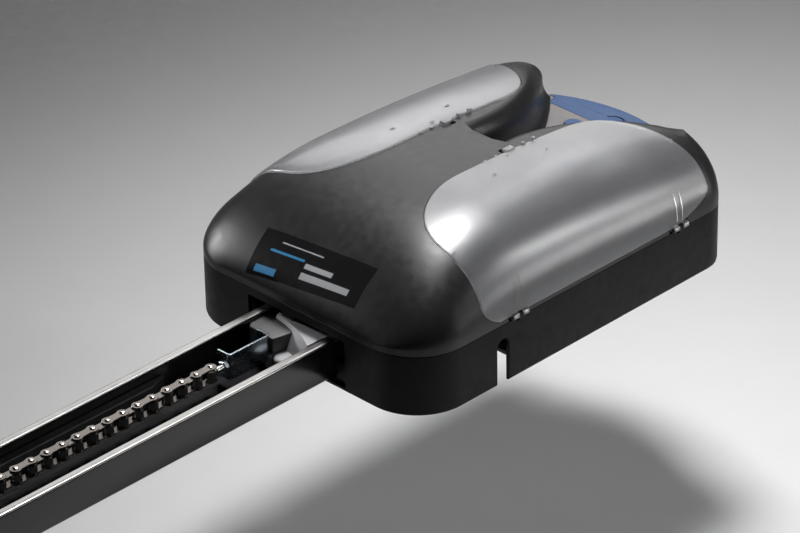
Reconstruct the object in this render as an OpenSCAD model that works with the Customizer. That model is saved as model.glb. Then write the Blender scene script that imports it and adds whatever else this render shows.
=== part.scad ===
// Garage door opener: a control head with two hinged lamp lenses, a three-piece C rail with a fixed
// roller chain, and a motor carriage that climbs along the chain. The side that faces the ceiling is
// down on z = 0 and the lamp side is up, the head is at +X and the door end is at -X. The origin is the
// centre of the head's four ceiling screws.

/* [Head] */
// Width of the head
head_w = 224; // [200:1:270]
// Length of the head without its rear bulge
head_l = 290; // [260:1:350]
// Height of the head at its crown
head_h = 105; // [96:1:126]
// Height of the base housing, up to the joint with the cover
base_h = 44.5; // [42:0.5:48]
// How far the rear deck stands out behind the lamp pods
bulge = 33; // [25:1:40]
// Plan radius of the rear bulge
bulge_r = 120; // [110:1:135]
// Plan radius of the front corners
front_r = 40; // [30:1:50]
// Plan radius of the rear corners
rear_r = 9; // [6:1:14]
// Wall thickness of the housing shells
wall = 3; // [2.5:0.1:3.5]
// Height of the rear deck
deck_z = 63; // [60:0.5:66]
// Distance between the ceiling screws along the rail
screw_dx = 200; // [180:1:210]
// Distance between the ceiling screws across the rail
screw_dy = 170; // [150:1:176]
// Diameter of the ceiling screw holes
screw_d = 5.5; // [4.5:0.1:6.5]

/* [Lamps] */
// Thickness of a lamp lens
lens_t = 2; // [1.6:0.1:2.4]
// How far a lens stands proud of the cover
lens_proud = 1.2; // [0.8:0.1:1.6]
// Width of the ledge that the lens rests on
lens_ledge = 8; // [6:0.5:10]
// Depth of the lamp bay below the cover
bay_depth = 14; // [10:1:18]
// Diameter of the lens hinge pins
lens_pin_d = 2; // [1.6:0.1:2.4]

/* [Rail] */
// Outer width of the rail
rail_w = 67; // [64:1:70]
// Height of the rail
rail_h = 28; // [26:1:30]
// Sheet thickness of the rail
rail_t = 1.5; // [1.2:0.1:1.8]
// Width of the rail's lips
lip_w = 7; // [6:0.5:8]
// Length of one rail section
section_l = 1096; // [900:1:1300]
// Length of rail inside the head
rail_in_head = 130; // [110:1:140]
// Height of the rail's underside above the ceiling plane
rail_z = 6; // [5.8:0.1:8]

/* [Chain] */
// Pitch of the roller chain
pitch = 12.7; // [12.7]
// Diameter of the chain rollers
roller_d = 7.75; // [7:0.05:8]
// Distance between the inner chain plates
chain_gap = 5.8; // [5.2:0.1:6.4]
// Thickness of one side of the chain, its two plates
plate_t = 2.6; // [2.2:0.1:3]
// Height of the chain plates
plate_w = 8.4; // [7.6:0.1:9]
// Sideways place of the chain in the rail
chain_y = 7; // [5:0.5:8]
// Height of the chain's centre above the ceiling plane
chain_z = 23.5; // [22:0.5:24]
// Number of sprocket teeth
teeth = 6; // [6]

/* [Carriage] */
// Length of the carriage cover
car_l = 300; // [280:1:340]
// Width of the carriage cover
car_w = 116; // [112:1:130]
// Height of the carriage cover's top above the ceiling plane
car_h = 98; // [96:1:110]
// Distance from the origin to the carriage at rest
car_x = 1785; // [1700:1:1900]
// Radius of the motor
motor_r = 23; // [20:1:24]
// Length of the motor
motor_l = 76; // [60:1:80]
// Distance between the arm's pivots
arm_l = 360; // [300:5:400]
// Diameter of the arm's pivot pins
arm_pin_d = 8; // [6:0.5:10]

/* [Hidden] */
$fn = 48;

gap = 0.3;          // between parts that only lie beside each other
run = 0.05;         // radial clearance of a running fit
hw = head_w / 2;
x0 = -head_l / 2;   // front face of the head
x1 = head_l / 2;    // rear face of the lamp pods
spring_z = 49;      // where the cover's sides start to curve in
nose_l = 115;       // length of the sloping nose
pod_drop = 9;       // how much lower the pods are at the rear than at the crown
steps = 12;         // flats in each curved profile

rail_x = x0 + rail_in_head;
door_x = rail_x - 3 * section_l - 2 * gap;
rail_top = rail_z + rail_h;
in_w = rail_w / 2 - rail_t;

hinge_y = hw + 1.2;
hinge_z = base_h + 2.7;
knuckle_r = 2.2;
hinge_x = [x0 + 92.7, x0 + 248.5];
latch_x = x0 + 171;

pedal = teeth * pitch / (2 * PI);   // rolling radius of the sprocket on the straight chain
spr_x = -car_x;
spr_y = chain_y - pedal;
shaft_r = 5;
wheel_r = 26;
worm_r = 6;
worm_y = spr_y + wheel_r + worm_r + gap;
plate_z = rail_top + 1.2;   // underside of the carriage's plate
plate_h = 3;
gear_z = plate_z + plate_h + motor_r + 4.8;

// ---------- helpers ----------
module along_x(x, l) translate([x, 0, 0]) rotate([90, 0, 90]) linear_extrude(l) children();
module along_y(y, l) translate([0, y + l, 0]) rotate([90, 0, 0]) linear_extrude(l) children();
module rod_x(x, y, z, r, l) translate([x, y, z]) rotate([0, 90, 0]) cylinder(r = r, h = l);
module rod_y(x, y, z, r, l) translate([x, y, z]) rotate([-90, 0, 0]) cylinder(r = r, h = l);
module both_sides() { children(); mirror([0, 1, 0]) children(); }
module box(a, b) translate(a) cube([b[0] - a[0], b[1] - a[1], b[2] - a[2]]);

// ---------- head outlines; d is how far inside the outer surface ----------
module pod_plan(d = 0) {
    rf = front_r - d;
    rr = max(rear_r - d, 1);
    w = hw - d;
    translate([x0 + d + rf, -w]) square([head_l - 2 * d - rf - rr, 2 * w]);
    translate([x0 + d, rf - w]) square([rf, 2 * (w - rf)]);
    translate([x1 - d - rr, rr - w]) square([rr, 2 * (w - rr)]);
    for (s = [-1, 1]) {
        translate([x0 + d + rf, s * (w - rf)]) circle(rf, $fn = 96);
        translate([x1 - d - rr, s * (w - rr)]) circle(rr);
    }
}
module bulge_plan(d = 0) intersection() {
    translate([x1 + bulge - bulge_r, 0]) circle(bulge_r - d, $fn = 160);
    translate([x1 - 20, -hw]) square([200, head_w]);
}
module head_plan(d = 0) { pod_plan(d); bulge_plan(d); }

function cross_points(d) = [for (i = [0 : 2 * steps]) let (a = 180 * i / (2 * steps))
    [(hw - d) * sign(cos(a)) * pow(abs(cos(a)), 2 / 4.2),
     spring_z + (head_h - spring_z - d) * pow(sin(a), 1)]];
function nose_points(d) = [for (i = [0 : steps]) let (u = pow(1 - i / steps, 1.6))
    [x0 + nose_l - (nose_l - d) * u, spring_z + (head_h + 1 - spring_z - d) * pow(1 - pow(u, 2.2), 0.714)]];
function crown_points(d) = [for (i = [1 : 6]) let (u = i / 6)
    [x0 + nose_l + u * (head_l - nose_l - 12 - d), head_h + 1 - d - pod_drop * u * u]];
function heel_points(d) = [for (i = [1 : 5]) let (a = 90 * i / 5)
    [x1 - 12 - d + 12 * sin(a), head_h + 1 - d - pod_drop - 12 + 12 * cos(a)]];

// Solid body of the cover at depth d below its outer surface
module dome(d = 0) intersection() {
    translate([0, 0, base_h]) linear_extrude(head_h) pod_plan(d);
    along_x(x0 - 1, head_l + 2)
        polygon(concat([[-hw + d, 0], [hw - d, 0]], cross_points(d)));
    along_y(-hw - 1, head_w + 2)
        polygon(concat([[x1 - d, 0], [x0 + d, 0]], nose_points(d), crown_points(d), heel_points(d)));
}

// ---------- rear scoop between the pods ----------
function scoop_half(x) = 17 + 0.2 * (x - x0 - 188) + 0.0125 * pow(max(x - x0 - 248, 0), 2);
scoop_front = x0 + 188;
module scoop_plan(g = 0) polygon(concat(
    [for (i = [0 : 8]) let (x = scoop_front + i * (x1 + 1 - scoop_front) / 8)
        [x - (i == 0 ? g : 0), scoop_half(x) + g]],
    [[x1 + 60, scoop_half(x1) + g], [x1 + 60, -scoop_half(x1) - g]],
    [for (i = [8 : -1 : 0]) let (x = scoop_front + i * (x1 + 1 - scoop_front) / 8)
        [x - (i == 0 ? g : 0), -scoop_half(x) - g]]));
ramp_l = 48;
module scoop_cut(g = 0) difference() {
    translate([0, 0, deck_z - (g > 0 ? g + 1 : 0)]) linear_extrude(head_h) scoop_plan(g);
    if (g == 0)
        along_y(-60, 120) polygon([[scoop_front - 5, deck_z - 1], [scoop_front + ramp_l, deck_z - 1],
            [scoop_front + ramp_l, deck_z + gap], [scoop_front + 12, head_h - 22],
            [scoop_front, head_h + 5], [scoop_front - 5, head_h + 5]]);
}

// ---------- lamp outlines; g is how far outside the lens edge ----------
lens_in = hw - 24;                  // lens width in plan
lens_xf = x0 + 131;
lens_af = 72;
lens_xr = x0 + 205;
lens_ar = 75;
function lens_arc(xc, a, g, s) = [for (i = [0 : steps]) let (t = 90 * i / steps)
    [xc + s * (a + g) * pow(cos(t), 0.85), -hw + (lens_in + g) * pow(sin(t), 0.9)]];
module lens_plan(g = 0) polygon(concat(
    [[lens_xf - lens_af - g, -hw - 20]], lens_arc(lens_xf, lens_af, g, -1),
    [for (i = [steps : -1 : 0]) lens_arc(lens_xr, lens_ar, g, 1)[i]],
    [[lens_xr + lens_ar + g, -hw - 20]]));
lens_z = base_h + 4;                // lower edge of a lens

module knuckles(w, off) for (x = hinge_x) for (s = off) rod_x(x + s - w / 2, -hinge_y, hinge_z, knuckle_r, w);

// ---------- head ----------
notch_x = x0 + 78.5;
notch_w = 11.4;
notch_h = 34;
plate_in = 18;                       // height of the inner base plate
mouth_w = 90;
mouth_h = rail_top + 4;
inlet_x = x0 + 185;
boss = [[x0 + 27, 62], [x1 - 12, 97]];
module each_boss() both_sides() for (p = boss) translate(p) children();
module screw_spots() for (sx = [-1, 1]) for (sy = [-1, 1])
    translate([sx * screw_dx / 2, sy * screw_dy / 2, 0]) children();

module base_housing() color("#1d1d1f") difference() {
    union() {
        difference() {
            linear_extrude(base_h - gap) head_plan();
            translate([0, 0, -1]) linear_extrude(base_h + 2) head_plan(wall);
        }
        both_sides() for (x = hinge_x) {
            box([x - 1.6, -hinge_y - 0.8, base_h - 7], [x + 1.6, -hw + wall, base_h - gap]);
            box([x - 1.6, -hinge_y - 0.8, base_h - 2], [x + 1.6, -hw + 1.6, hinge_z]);
            rod_x(x - 1.6, -hinge_y, hinge_z, knuckle_r, 3.2);
        }
    }
    box([x0 - 5, -mouth_w / 2, rail_z - 3], [x0 + 14 - gap, mouth_w / 2, mouth_h]);
    both_sides() {
        notch_space();
        for (x = hinge_x) rod_x(x - 3, -hinge_y, hinge_z, lens_pin_d / 2, 6);
    }
    box([inlet_x - 14.3, hw - wall - 1, 8.7], [inlet_x + 14.3, hw + 5, 29.3]);
}
module notch_space() {
    box([notch_x - notch_w / 2, -hw - 3, -1], [notch_x + notch_w / 2, -hw + 12, notch_h - notch_w / 2]);
    rod_y(notch_x, -hw - 3, notch_h - notch_w / 2, notch_w / 2, 15);
}

// Inner floor that holds the electronics, with the cradle for the rail and the ceiling screw pillars
module base_plate() color("#26262a") difference() {
    union() {
        translate([0, 0, plate_in]) linear_extrude(2.5) head_plan(wall);
        box([x0 + 14, -rail_w / 2 - 3, 3], [rail_x + 4, rail_w / 2 + 3, plate_in + 2.5]);
        box([x0 + 14, -rail_w / 2 - 3, plate_in], [rail_x + 4, rail_w / 2 + 3, rail_top + 3]);
        screw_spots() cylinder(r = 9, h = plate_in + 1);
    }
    box([x0 - 5, -rail_w / 2 - 0.4, rail_z - 0.4], [rail_x + 0.6, rail_w / 2 + 0.4, base_h + 2]);
    box([x0 - 5, -mouth_w / 2, rail_z - 3], [x0 + 14 - gap, mouth_w / 2, mouth_h]);
    screw_spots() translate([0, 0, -1]) cylinder(r = screw_d / 2, h = 60);
    each_boss() translate([0, 0, plate_in - 5]) cylinder(r = 2.3, h = 20);
    both_sides() notch_space();
    box([inlet_x - 14.3, hw - 24.4, 8.7], [inlet_x + 14.3, hw + 5, 29.3]);
}

module face_cover() color("#232325") difference() {
    union() {
        difference() {
            dome();
            scoop_cut();
            difference() {
                translate([0, 0, -0.1]) dome(wall);
                scoop_cut(wall - 0.4);
                along_y(-60, 120) polygon([[scoop_front - wall, head_h - 26], [scoop_front + 11, head_h - 25],
                    [scoop_front + ramp_l - 6, deck_z - 3], [scoop_front + ramp_l + 3, deck_z - 3],
                    [scoop_front + ramp_l + 3, head_h], [scoop_front - wall, head_h]]);
            }
        }
        intersection() {
            dome(1);
            each_boss() translate([0, 0, base_h]) cylinder(r = 4.6, h = 60);
        }
        each_boss() translate([0, 0, plate_in + 2.8]) cylinder(r = 4.6, h = base_h - plate_in);
    }
    both_sides() {
        // window under the lens and the sunk ledge around it
        translate([0, 0, lens_z + 6]) linear_extrude(head_h) intersection() {
            lens_plan(-lens_ledge);
            translate([x0, -hw - 30]) square([head_l, head_w / 2 + 30]);
        }
        difference() {
            translate([0, 0, lens_z - gap]) linear_extrude(head_h) lens_plan(0.5);
            dome(lens_t - lens_proud + 0.4);
        }
        for (x = hinge_x) box([x - 9, -hw - 3, base_h - 1], [x + 9, -hw + 2.2, lens_z + 2]);
        box([latch_x - 5.6, -hw + lens_in - 12, head_h - 14], [latch_x + 5.6, -hw + lens_in + 1, head_h + 3]);
    }
    each_boss() translate([0, 0, plate_in]) cylinder(r = 2 + run, h = 34);
    linear_extrude(deck_z) bulge_panel(gap);
}

module lens() {
    difference() {
        intersection() {
            lens_skin();
            translate([0, 0, lens_z]) linear_extrude(head_h) lens_plan();
        }
        box([hinge_x[0] - 2, -hw - 3, lens_z - 3], [hinge_x[0] + 2, -hw + 3, lens_z + 2.5]);
        box([hinge_x[1] - 2, -hw - 3, lens_z - 3], [hinge_x[1] + 2, -hw + 3, lens_z + 2.5]);
    }
    difference() {
        union() {
            knuckles(5, [-4.5, 4.5]);
            for (x = hinge_x) for (s = [-4.5, 4.5])
                box([x + s - 2.5, -hw - 1.1, hinge_z], [x + s + 2.5, -hw + 0.6, lens_z + 2]);
        }
        for (x = hinge_x) rod_x(x - 10, -hinge_y, hinge_z, lens_pin_d / 2 + run, 20);
    }
    // latch hook in the middle of the inner edge
    box([latch_x - 4, -hw + lens_in - 4, head_h - 10], [latch_x + 4, -hw + lens_in - 2, head_h - 0.5]);
}
module lens_skin() difference() { dome(-lens_proud); dome(lens_t - lens_proud); }

module lamp_lens_right() color("#d5d6db") lens();
module lamp_lens_left() color("#d5d6db") mirror([0, 1, 0]) lens();
module lens_pins() color("silver") both_sides() for (x = hinge_x)
    rod_x(x - 7.2, -hinge_y, hinge_z, lens_pin_d / 2, 14.4);

tray_t = 1.5;
module lamp_tray() difference() {
    intersection() {
        difference() { dome(wall + gap); dome(bay_depth + tray_t); }
        translate([0, 0, lens_z + 9]) linear_extrude(head_h) intersection() {
            lens_plan(-lens_ledge);
            translate([x0, -hw + 4]) square([head_l, hw]);
        }
    }
    difference() {
        translate([0, 0, lens_z]) linear_extrude(head_h) lens_plan(-lens_ledge - tray_t);
        dome(bay_depth);
    }
    box([latch_x - 8, -hw + lens_in - 16, head_h - 16], [latch_x + 8, -hw + lens_in + 1, head_h + 3]);
}
module lamp_tray_right() color("#f2f2f0") lamp_tray();
module lamp_tray_left() color("#f2f2f0") mirror([0, 1, 0]) lamp_tray();
led_z = head_h - bay_depth + 2;
module led_board() {
    box([x0 + 120, -70, led_z], [x0 + 220, -48, led_z + 1.6]);
    for (i = [0 : 5]) translate([x0 + 130 + 16 * i, -59, led_z + 1.6]) cylinder(r = 2.5, h = 2);
}
module led_boards() color("#e8e8e0") both_sides() led_board();

module cover_screws() color("#9a9c9f") each_boss() {
    translate([0, 0, plate_in - 3]) cylinder(r = 3.9, h = 3);
    translate([0, 0, plate_in - 0.5]) cylinder(r = 2, h = 30);
}

// Rear deck: the scoop's floor and the bulge, one shell
flap_x = x1 + 10;
flap_w = 58;
flap_pin_z = deck_z - 1.9;
btn_x = x1 - 5;
btn_half = 18;
btn_r = 6;
btn_t = 2.5;
module bulge_panel(g = 0) {
    intersection() {
        pod_plan(-1);
        scoop_plan(-gap - 0.2 + g);
    }
    difference() { bulge_plan(-g); translate([x0, -hw]) square([head_l - 0.01, head_w]); }
}
// front is how far the outline starts behind the flap's front edge
module flap_plan(g = 0, front = 0) intersection() {
    bulge_plan(-g);
    translate([flap_x - g + front, -flap_w - g]) square([60, 2 * (flap_w + g)]);
}
module button_plan(g = 0) {
    translate([btn_x - btn_r - g, -btn_half]) square([2 * (btn_r + g), 2 * btn_half]);
    for (s = [-1, 1]) translate([btn_x, s * btn_half]) circle(btn_r + g);
}
module rear_panel() color("#8c8683") difference() {
    union() {
        translate([0, 0, deck_z - wall]) linear_extrude(wall) intersection() {
            bulge_panel();
            translate([scoop_front + ramp_l + gap, -hw]) square([200, head_w]);
        }
        translate([0, 0, base_h]) linear_extrude(deck_z - base_h - 0.01) difference() {
            bulge_plan();
            bulge_plan(wall);
            translate([x0, -hw]) square([head_l + gap, head_w]);
        }
        translate([x1 + gap, 0, 0]) for (s = [-1, 1])
            box([0, s > 0 ? 68 : -73, base_h], [3, s > 0 ? 73 : -68, deck_z - 1]);
        for (s = [-1, 1]) rod_y(flap_x + 2, s > 0 ? 48.4 : -56, flap_pin_z, 1.9, 7.6);
    }
    difference() {
        translate([0, 0, base_h + 5]) linear_extrude(60) flap_plan(gap);
        for (s = [-1, 1]) box([flap_x - 1, s > 0 ? 48.4 : -56, flap_pin_z - 1.9],
            [flap_x + 3.9, s > 0 ? 56 : -48.4, deck_z]);
    }
    translate([0, 0, deck_z - 10]) linear_extrude(20) button_plan(0.4);
    rod_y(flap_x + 2, -57, flap_pin_z, 1, 114);
}
module service_flap() color("#3f74b4") difference() {
    union() {
        translate([0, 0, deck_z - 2.4]) linear_extrude(2.4) flap_plan(0, 2);
        translate([0, 0, base_h + 5.5]) linear_extrude(deck_z - base_h - 6) intersection() {
            difference() { bulge_plan(); bulge_plan(2.4); }
            flap_plan();
        }
        rod_y(flap_x + 2, -48, flap_pin_z, 1.9, 96);
    }
    for (s = [-1, 1]) box([flap_x - 2, s > 0 ? 48 : -flap_w - 1, deck_z - 6],
        [flap_x + 5.4, s > 0 ? flap_w + 1 : -48, deck_z + 2]);
    rod_y(flap_x + 2, -57, flap_pin_z, 1 + run, 114);
    // finger slit, one third of a ring
    translate([flap_x + 8, 0, deck_z - 4]) linear_extrude(8) intersection() {
        difference() { circle(10); circle(8.6); }
        translate([2, -9]) square([20, 18]);
    }
}
module flap_pin() color("silver") rod_y(flap_x + 2, -56, flap_pin_z, 1, 112);
switch_x = x0 + head_l - 8;
module push_button() color("#3f74b4") {
    translate([0, 0, deck_z - btn_t]) linear_extrude(btn_t + 1) button_plan();
    translate([0, 0, deck_z - wall - 0.5]) linear_extrude(wall) button_plan();
    translate([0, 0, deck_z - wall - 1.6]) linear_extrude(1.2) translate([btn_x - btn_r - 1.4, -btn_half - 7.4])
        square([2 * btn_r + 2.8, 2 * btn_half + 14.8]);
    translate([switch_x, 0, on_board + 9.4]) cylinder(r = 3, h = deck_z - on_board - 9.4 - btn_t);
}

board_z = 27;
module control_board() color("#1f5c3a") {
    difference() {
        box([x0 + 165, -90, board_z], [x1 - 4.5, 26, board_z + 1.6]);
        for (x = [x0 + 171, x1 - 12]) for (y = [-84, 20]) translate([x, y, board_z - 20]) cylinder(r = 1.2, h = 40);
    }
    for (x = [x0 + 171, x1 - 12]) for (y = [-84, 20])
        translate([x, y, plate_in + 2.5]) cylinder(r = 3, h = board_z - plate_in - 2.5);
}
on_board = board_z + 1.6;
module relays() color("#2b4d9b") for (i = [0 : 2])
    box([x0 + 182 + 24 * i, -86, on_board], [x0 + 201 + 24 * i, -70, on_board + 15]);
module capacitors() color("#2a2a30") for (i = [0 : 1])
    translate([x0 + 190 + 24 * i, -55, on_board]) cylinder(r = 9, h = 24);
module button_switch() color("#333333") {
    box([switch_x - 3, -3, on_board], [switch_x + 3, 3, on_board + 4]);
    translate([switch_x, 0, on_board + 4]) cylinder(r = 1.7, h = 2.6);
}
module radio_module() color("#2f6f4a") {
    box([x0 + 176, -32, on_board], [x0 + 206, -30.4, on_board + 20]);
    box([x0 + 180, -30.4, on_board + 4], [x0 + 194, -28, on_board + 14]);
}
tr = [x0 + 169, 40, plate_in + 2.5];
module transformer_core() color("#5c5f63") translate(tr) difference() {
    cube([66, 40, 50]);
    for (x = [11, 44]) translate([x, -1, 11]) cube([11, 42, 28]);
}
module transformer_coil() color("#c9a227") translate(tr) difference() {
    translate([11.6, -9, 11.6]) cube([42.8, 58, 26.8]);
    translate([21.7, -gap, -1]) cube([22.6, 40 + 2 * gap, 60]);
}
module terminal_block() color("#2f8f57") difference() {
    box([x1 + 12, -34, plate_in + 2.5], [x1 + 24, 34, deck_z - 9]);
    for (i = [0 : 7]) translate([x1 + 18, -29.75 + 8.5 * i, deck_z - 16]) cylinder(r = 2.6, h = 10);
}
module power_inlet() color("#151515") difference() {
    union() {
        box([inlet_x - 14, hw - 24, 9], [inlet_x + 14, hw + 0.5, 29]);
        box([inlet_x - 17, hw - wall - 2.3, 5.5], [inlet_x + 17, hw - wall - gap, plate_in - 0.4]);
    }
    box([inlet_x - 12, hw - 16, 11.5], [inlet_x + 12, hw + 2, 26.5]);
}
module inlet_blades() color("#c8b060") for (i = [-1 : 1])
    box([inlet_x + 7 * i - 1, hw - 16, 17 + (i == 0 ? 4 : 0)], [inlet_x + 7 * i + 1, hw - 7, 21 + (i == 0 ? 4 : 0)]);

// ---------- rail ----------
function half_rail() = [[rail_w / 2, 0], [rail_w / 2, rail_h], [rail_w / 2 - lip_w, rail_h],
    [rail_w / 2 - lip_w, rail_h - 3], [rail_w / 2 - lip_w + rail_t, rail_h - 3],
    [rail_w / 2 - lip_w + rail_t, rail_h - rail_t], [in_w, rail_h - rail_t], [in_w, rail_t]];
module rail_profile() translate([0, rail_z])
    polygon(concat(half_rail(), [for (i = [7 : -1 : 0]) [-half_rail()[i][0], half_rail()[i][1]]]));
function section_x(i) = rail_x - i * section_l - (i - 1) * gap;
module rail_section(i) color("#18181a") along_x(section_x(i), section_l) rail_profile();
module rail_section_1() rail_section(1);
module rail_section_2() rail_section(2);
module rail_section_3() rail_section(3);
joiner_l = 120;
module rail_joiner(i) color("#3a3b3e") along_x(section_x(i) - gap / 2 - joiner_l / 2, joiner_l) difference() {
    translate([-rail_w / 2 - 1.7, rail_z - 1.7]) square([rail_w + 3.4, rail_h - 1]);
    translate([-rail_w / 2 - 0.2, rail_z - 0.2]) square([rail_w + 0.4, rail_h + 2]);
}
module rail_joiner_1() rail_joiner(1);
module rail_joiner_2() rail_joiner(2);

strip_w = 7;
strip_h = 14;
module guide_strip() color("#3b3c3f") box([door_x + 40, in_w - gap - strip_w, rail_z + rail_t + gap],
    [x0 - 90, in_w - gap, rail_z + rail_t + gap + strip_h]);

// Grey end piece where the rail enters the head; it carries the chain bracket
insert_z = rail_z + rail_t + gap;
module head_insert() color("#a9a6a6") difference() {
    union() {
        box([x0 + 2, -in_w + 0.5, insert_z], [rail_x - 4, in_w - 0.5, insert_z + 9]);
        box([x0 - 20, 4, insert_z], [x0 + 8, in_w - 0.5, 30]);
        box([x0 + 3, -in_w + 4.5, insert_z], [x0 + 8, in_w - 5, rail_top - 3.4]);
        box([x0 - 20, -8, insert_z], [x0 + 6, 5, insert_z + 4]);
        translate([x0 - 6, -7, insert_z]) cylinder(r = 11, h = 4);
    }
    box([x0 - 21, chain_y - 6.4, 13], [x0 - 17, chain_y + 6.4, 31]);
}
brk_t = 1.6;
brk_x = x0 - 56;
module chain_bracket() color("#b9c3c8") difference() {
    bracket_plan();
    rod_x(brk_x - 3, chain_y, chain_z, 2.6, 6);
}
module bracket_plan() translate([0, 0, 13.5]) linear_extrude(17) {
    translate([brk_x, chain_y - 5.6]) square([brk_t, 11.2]);
    translate([brk_x, chain_y - 5.6]) square([36.8, brk_t]);
    translate([brk_x + 36.8 - brk_t, chain_y - 5.6]) square([brk_t, 11.2]);
}
module chain_link_pin() color("#8d9093") {
    rod_x(brk_x - 9, chain_y, chain_z, 2.5, 16);
    rod_x(brk_x + brk_t + 0.2, chain_y, chain_z, 3.8, 4);
}

chain_x1 = brk_x - 9.2;
links = floor((chain_x1 - door_x - 70) / pitch);
// A tooth gap lies over the sprocket at rest
chain_shift = let (n = (chain_x1 - 5 - spr_x) / pitch) (n - floor(n)) * pitch;
module chain() color("#6f6a63") {
    for (z = [chain_z - chain_gap / 2 - plate_t, chain_z + chain_gap / 2])
        box([chain_x1 - links * pitch, chain_y - plate_w / 2, z], [chain_x1, chain_y + plate_w / 2, z + plate_t]);
    for (i = [0 : links - 1]) let (x = chain_x1 - 5 - chain_shift - pitch / 2 - i * pitch)
        if (x - roller_d / 2 > chain_x1 - links * pitch && x + roller_d / 2 < chain_x1)
            translate([x, chain_y, chain_z - chain_gap / 2]) cylinder(r = roller_d / 2, h = chain_gap);
}
chain_end = chain_x1 - links * pitch;

module door_insert() color("#222224") difference() {
    box([door_x + 1, -in_w + 0.4, insert_z], [door_x + 32, in_w - 0.4, rail_top - 4]);
    rod_x(door_x - 1, chain_y, chain_z, 4 + run, 40);
}
module tension_bolt() color("#b4b6b8") {
    rod_x(door_x - 46, chain_y, chain_z, 4, chain_end - door_x + 46 - 6);
    box([chain_end - 6.1, chain_y - 5, chain_z - 5.4], [chain_end - 0.1, chain_y + 5, chain_z + 5.4]);
}
module tension_spring() color("#8f9296") for (i = [0 : 5])
    translate([door_x - 1.5 - 4.2 * i, chain_y, chain_z]) rotate([0, 90, 0])
        translate([0, 0, -1.4]) rotate_extrude() translate([6.2, 0]) circle(1.4, $fn = 24);
module tension_nut() color("#c0c2c4") difference() {
    rod_x_hex(door_x - 33.5, chain_y, chain_z, 7.4, 6);
    rod_x(door_x - 35, chain_y, chain_z, 4 + run, 10);
}
module rod_x_hex(x, y, z, r, l) translate([x, y, z]) rotate([0, 90, 0]) cylinder(r = r, h = l, $fn = 6);

yoke_x = door_x - 58;
yoke_z = 20;
module rail_end_yoke() color("#b9c3c8") difference() {
    union() {
        both_sides() along_y(rail_w / 2 + gap, 2)
            polygon([[door_x + 50, rail_z + 2], [door_x + 50, rail_top - 4], [yoke_x, yoke_z + 11],
                [yoke_x - 9, yoke_z + 6], [yoke_x - 9, yoke_z - 6], [yoke_x, yoke_z - 11]]);
        box([door_x + 4, -rail_w / 2 - gap - 2, rail_z - gap - 2], [door_x + 50, rail_w / 2 + gap + 2, rail_z - gap]);
        both_sides() box([door_x + 4, rail_w / 2 + gap, rail_z - gap - 2], [door_x + 50, rail_w / 2 + gap + 2, rail_z + 4]);
    }
    rod_y(yoke_x, -60, yoke_z, 4 + run, 120);
}
yoke_out = rail_w / 2 + gap + 2;
module yoke_bolts() color("#c0c2c4") both_sides() {
    rod_y(yoke_x, yoke_out - 6, yoke_z, 4, 12.5);
    rod_y(yoke_x, yoke_out - 6.2, yoke_z, 6.5, 3.9);
    rod_y(yoke_x, yoke_out + 3.2, yoke_z, 6.5, 5);
}
lintel_l = 46;
module lintel_bracket() color("#b9c3c8") difference() {
    union() {
        both_sides() along_y(yoke_out + 0.4, 2.4) {
            translate([yoke_x - lintel_l, yoke_z - 14]) square([lintel_l, 28]);
            translate([yoke_x, yoke_z]) circle(14);
        }
        box([yoke_x - lintel_l - 2.5, -60, 0], [yoke_x - lintel_l, 60, 56]);
        both_sides() box([yoke_x - lintel_l - 1, yoke_out + 0.4, yoke_z - 14], [yoke_x - lintel_l + 6, yoke_out + 2.8, yoke_z + 14]);
    }
    rod_y(yoke_x, -80, yoke_z, 4 + run, 160);
    for (y = [-50, 50]) for (z = [9, 47]) rod_x(yoke_x - lintel_l - 5, y, z, 4.5, 10);
}

saddle_l = 40;
saddle_dy = 100;
module rail_saddle(x) color("#b9c3c8") difference() {
    along_x(x - saddle_l / 2, saddle_l) {
        for (s = [-1, 1]) mirror([s < 0 ? 1 : 0, 0]) {
            translate([rail_w / 2 + gap, 0]) square([2, 22]);
            translate([rail_w / 2 + gap, 0]) square([62 - rail_w / 2, 2]);
        }
        translate([-rail_w / 2 - gap - 0.5, rail_z - gap - 2]) square([rail_w + 2 * gap + 1, 2]);
    }
    for (s = [-1, 1]) translate([x, s * saddle_dy / 2, -1]) cylinder(r = 4, h = 5);
}
saddle_x = [section_x(1) + 180, section_x(3) + 420];
module rail_saddle_1() rail_saddle(saddle_x[0]);
module rail_saddle_2() rail_saddle(saddle_x[1]);

// ---------- carriage ----------
module shoe_profile() difference() {
    union() {
        translate([-in_w + 0.6, 24]) square([2 * in_w - 1.2, 6.4]);
        translate([-in_w + 0.6, rail_z + rail_t + 1]) square([in_w - 4, 20]);
        translate([-rail_w / 2 + lip_w + 0.7, 26]) square([rail_w - 2 * lip_w - 1.4, plate_z - 25.5]);
    }
    translate([chain_y - 6, 15]) square([12, chain_z + 9 - 15]);
}
shoe_l = 34;
module carriage_chassis() color("#2a2a2d") difference() {
    union() {
        box([spr_x - 138, -44, plate_z], [spr_x + 138, 44, plate_z + plate_h]);
        for (s = [-1, 1]) along_x(spr_x + s * 112 - shoe_l / 2, shoe_l) shoe_profile();
        translate([spr_x, spr_y, 29.5]) cylinder(r = 11, h = plate_z - 28.5);
        // back rest that keeps the chain on the sprocket
        box([spr_x - 24, chain_y + plate_w / 2 + 0.4, 19], [spr_x + 24, in_w - strip_w - 2, 30.4]);
        box([spr_x - 24, chain_y + plate_w / 2 + 0.4, 28], [spr_x + 24, rail_w / 2 - lip_w - 0.7, plate_z + 1]);
        // clevis ears for the door arm
        both_sides() box([spr_x - 148, 19, plate_z], [spr_x - 132, 24, plate_z + plate_h]);
    }
    translate([spr_x, spr_y, 20]) cylinder(r = shaft_r + run, h = 40);
    brush_spots() cube([12 + 2 * gap, 3.5, 5 + 2 * gap]);
}
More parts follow.
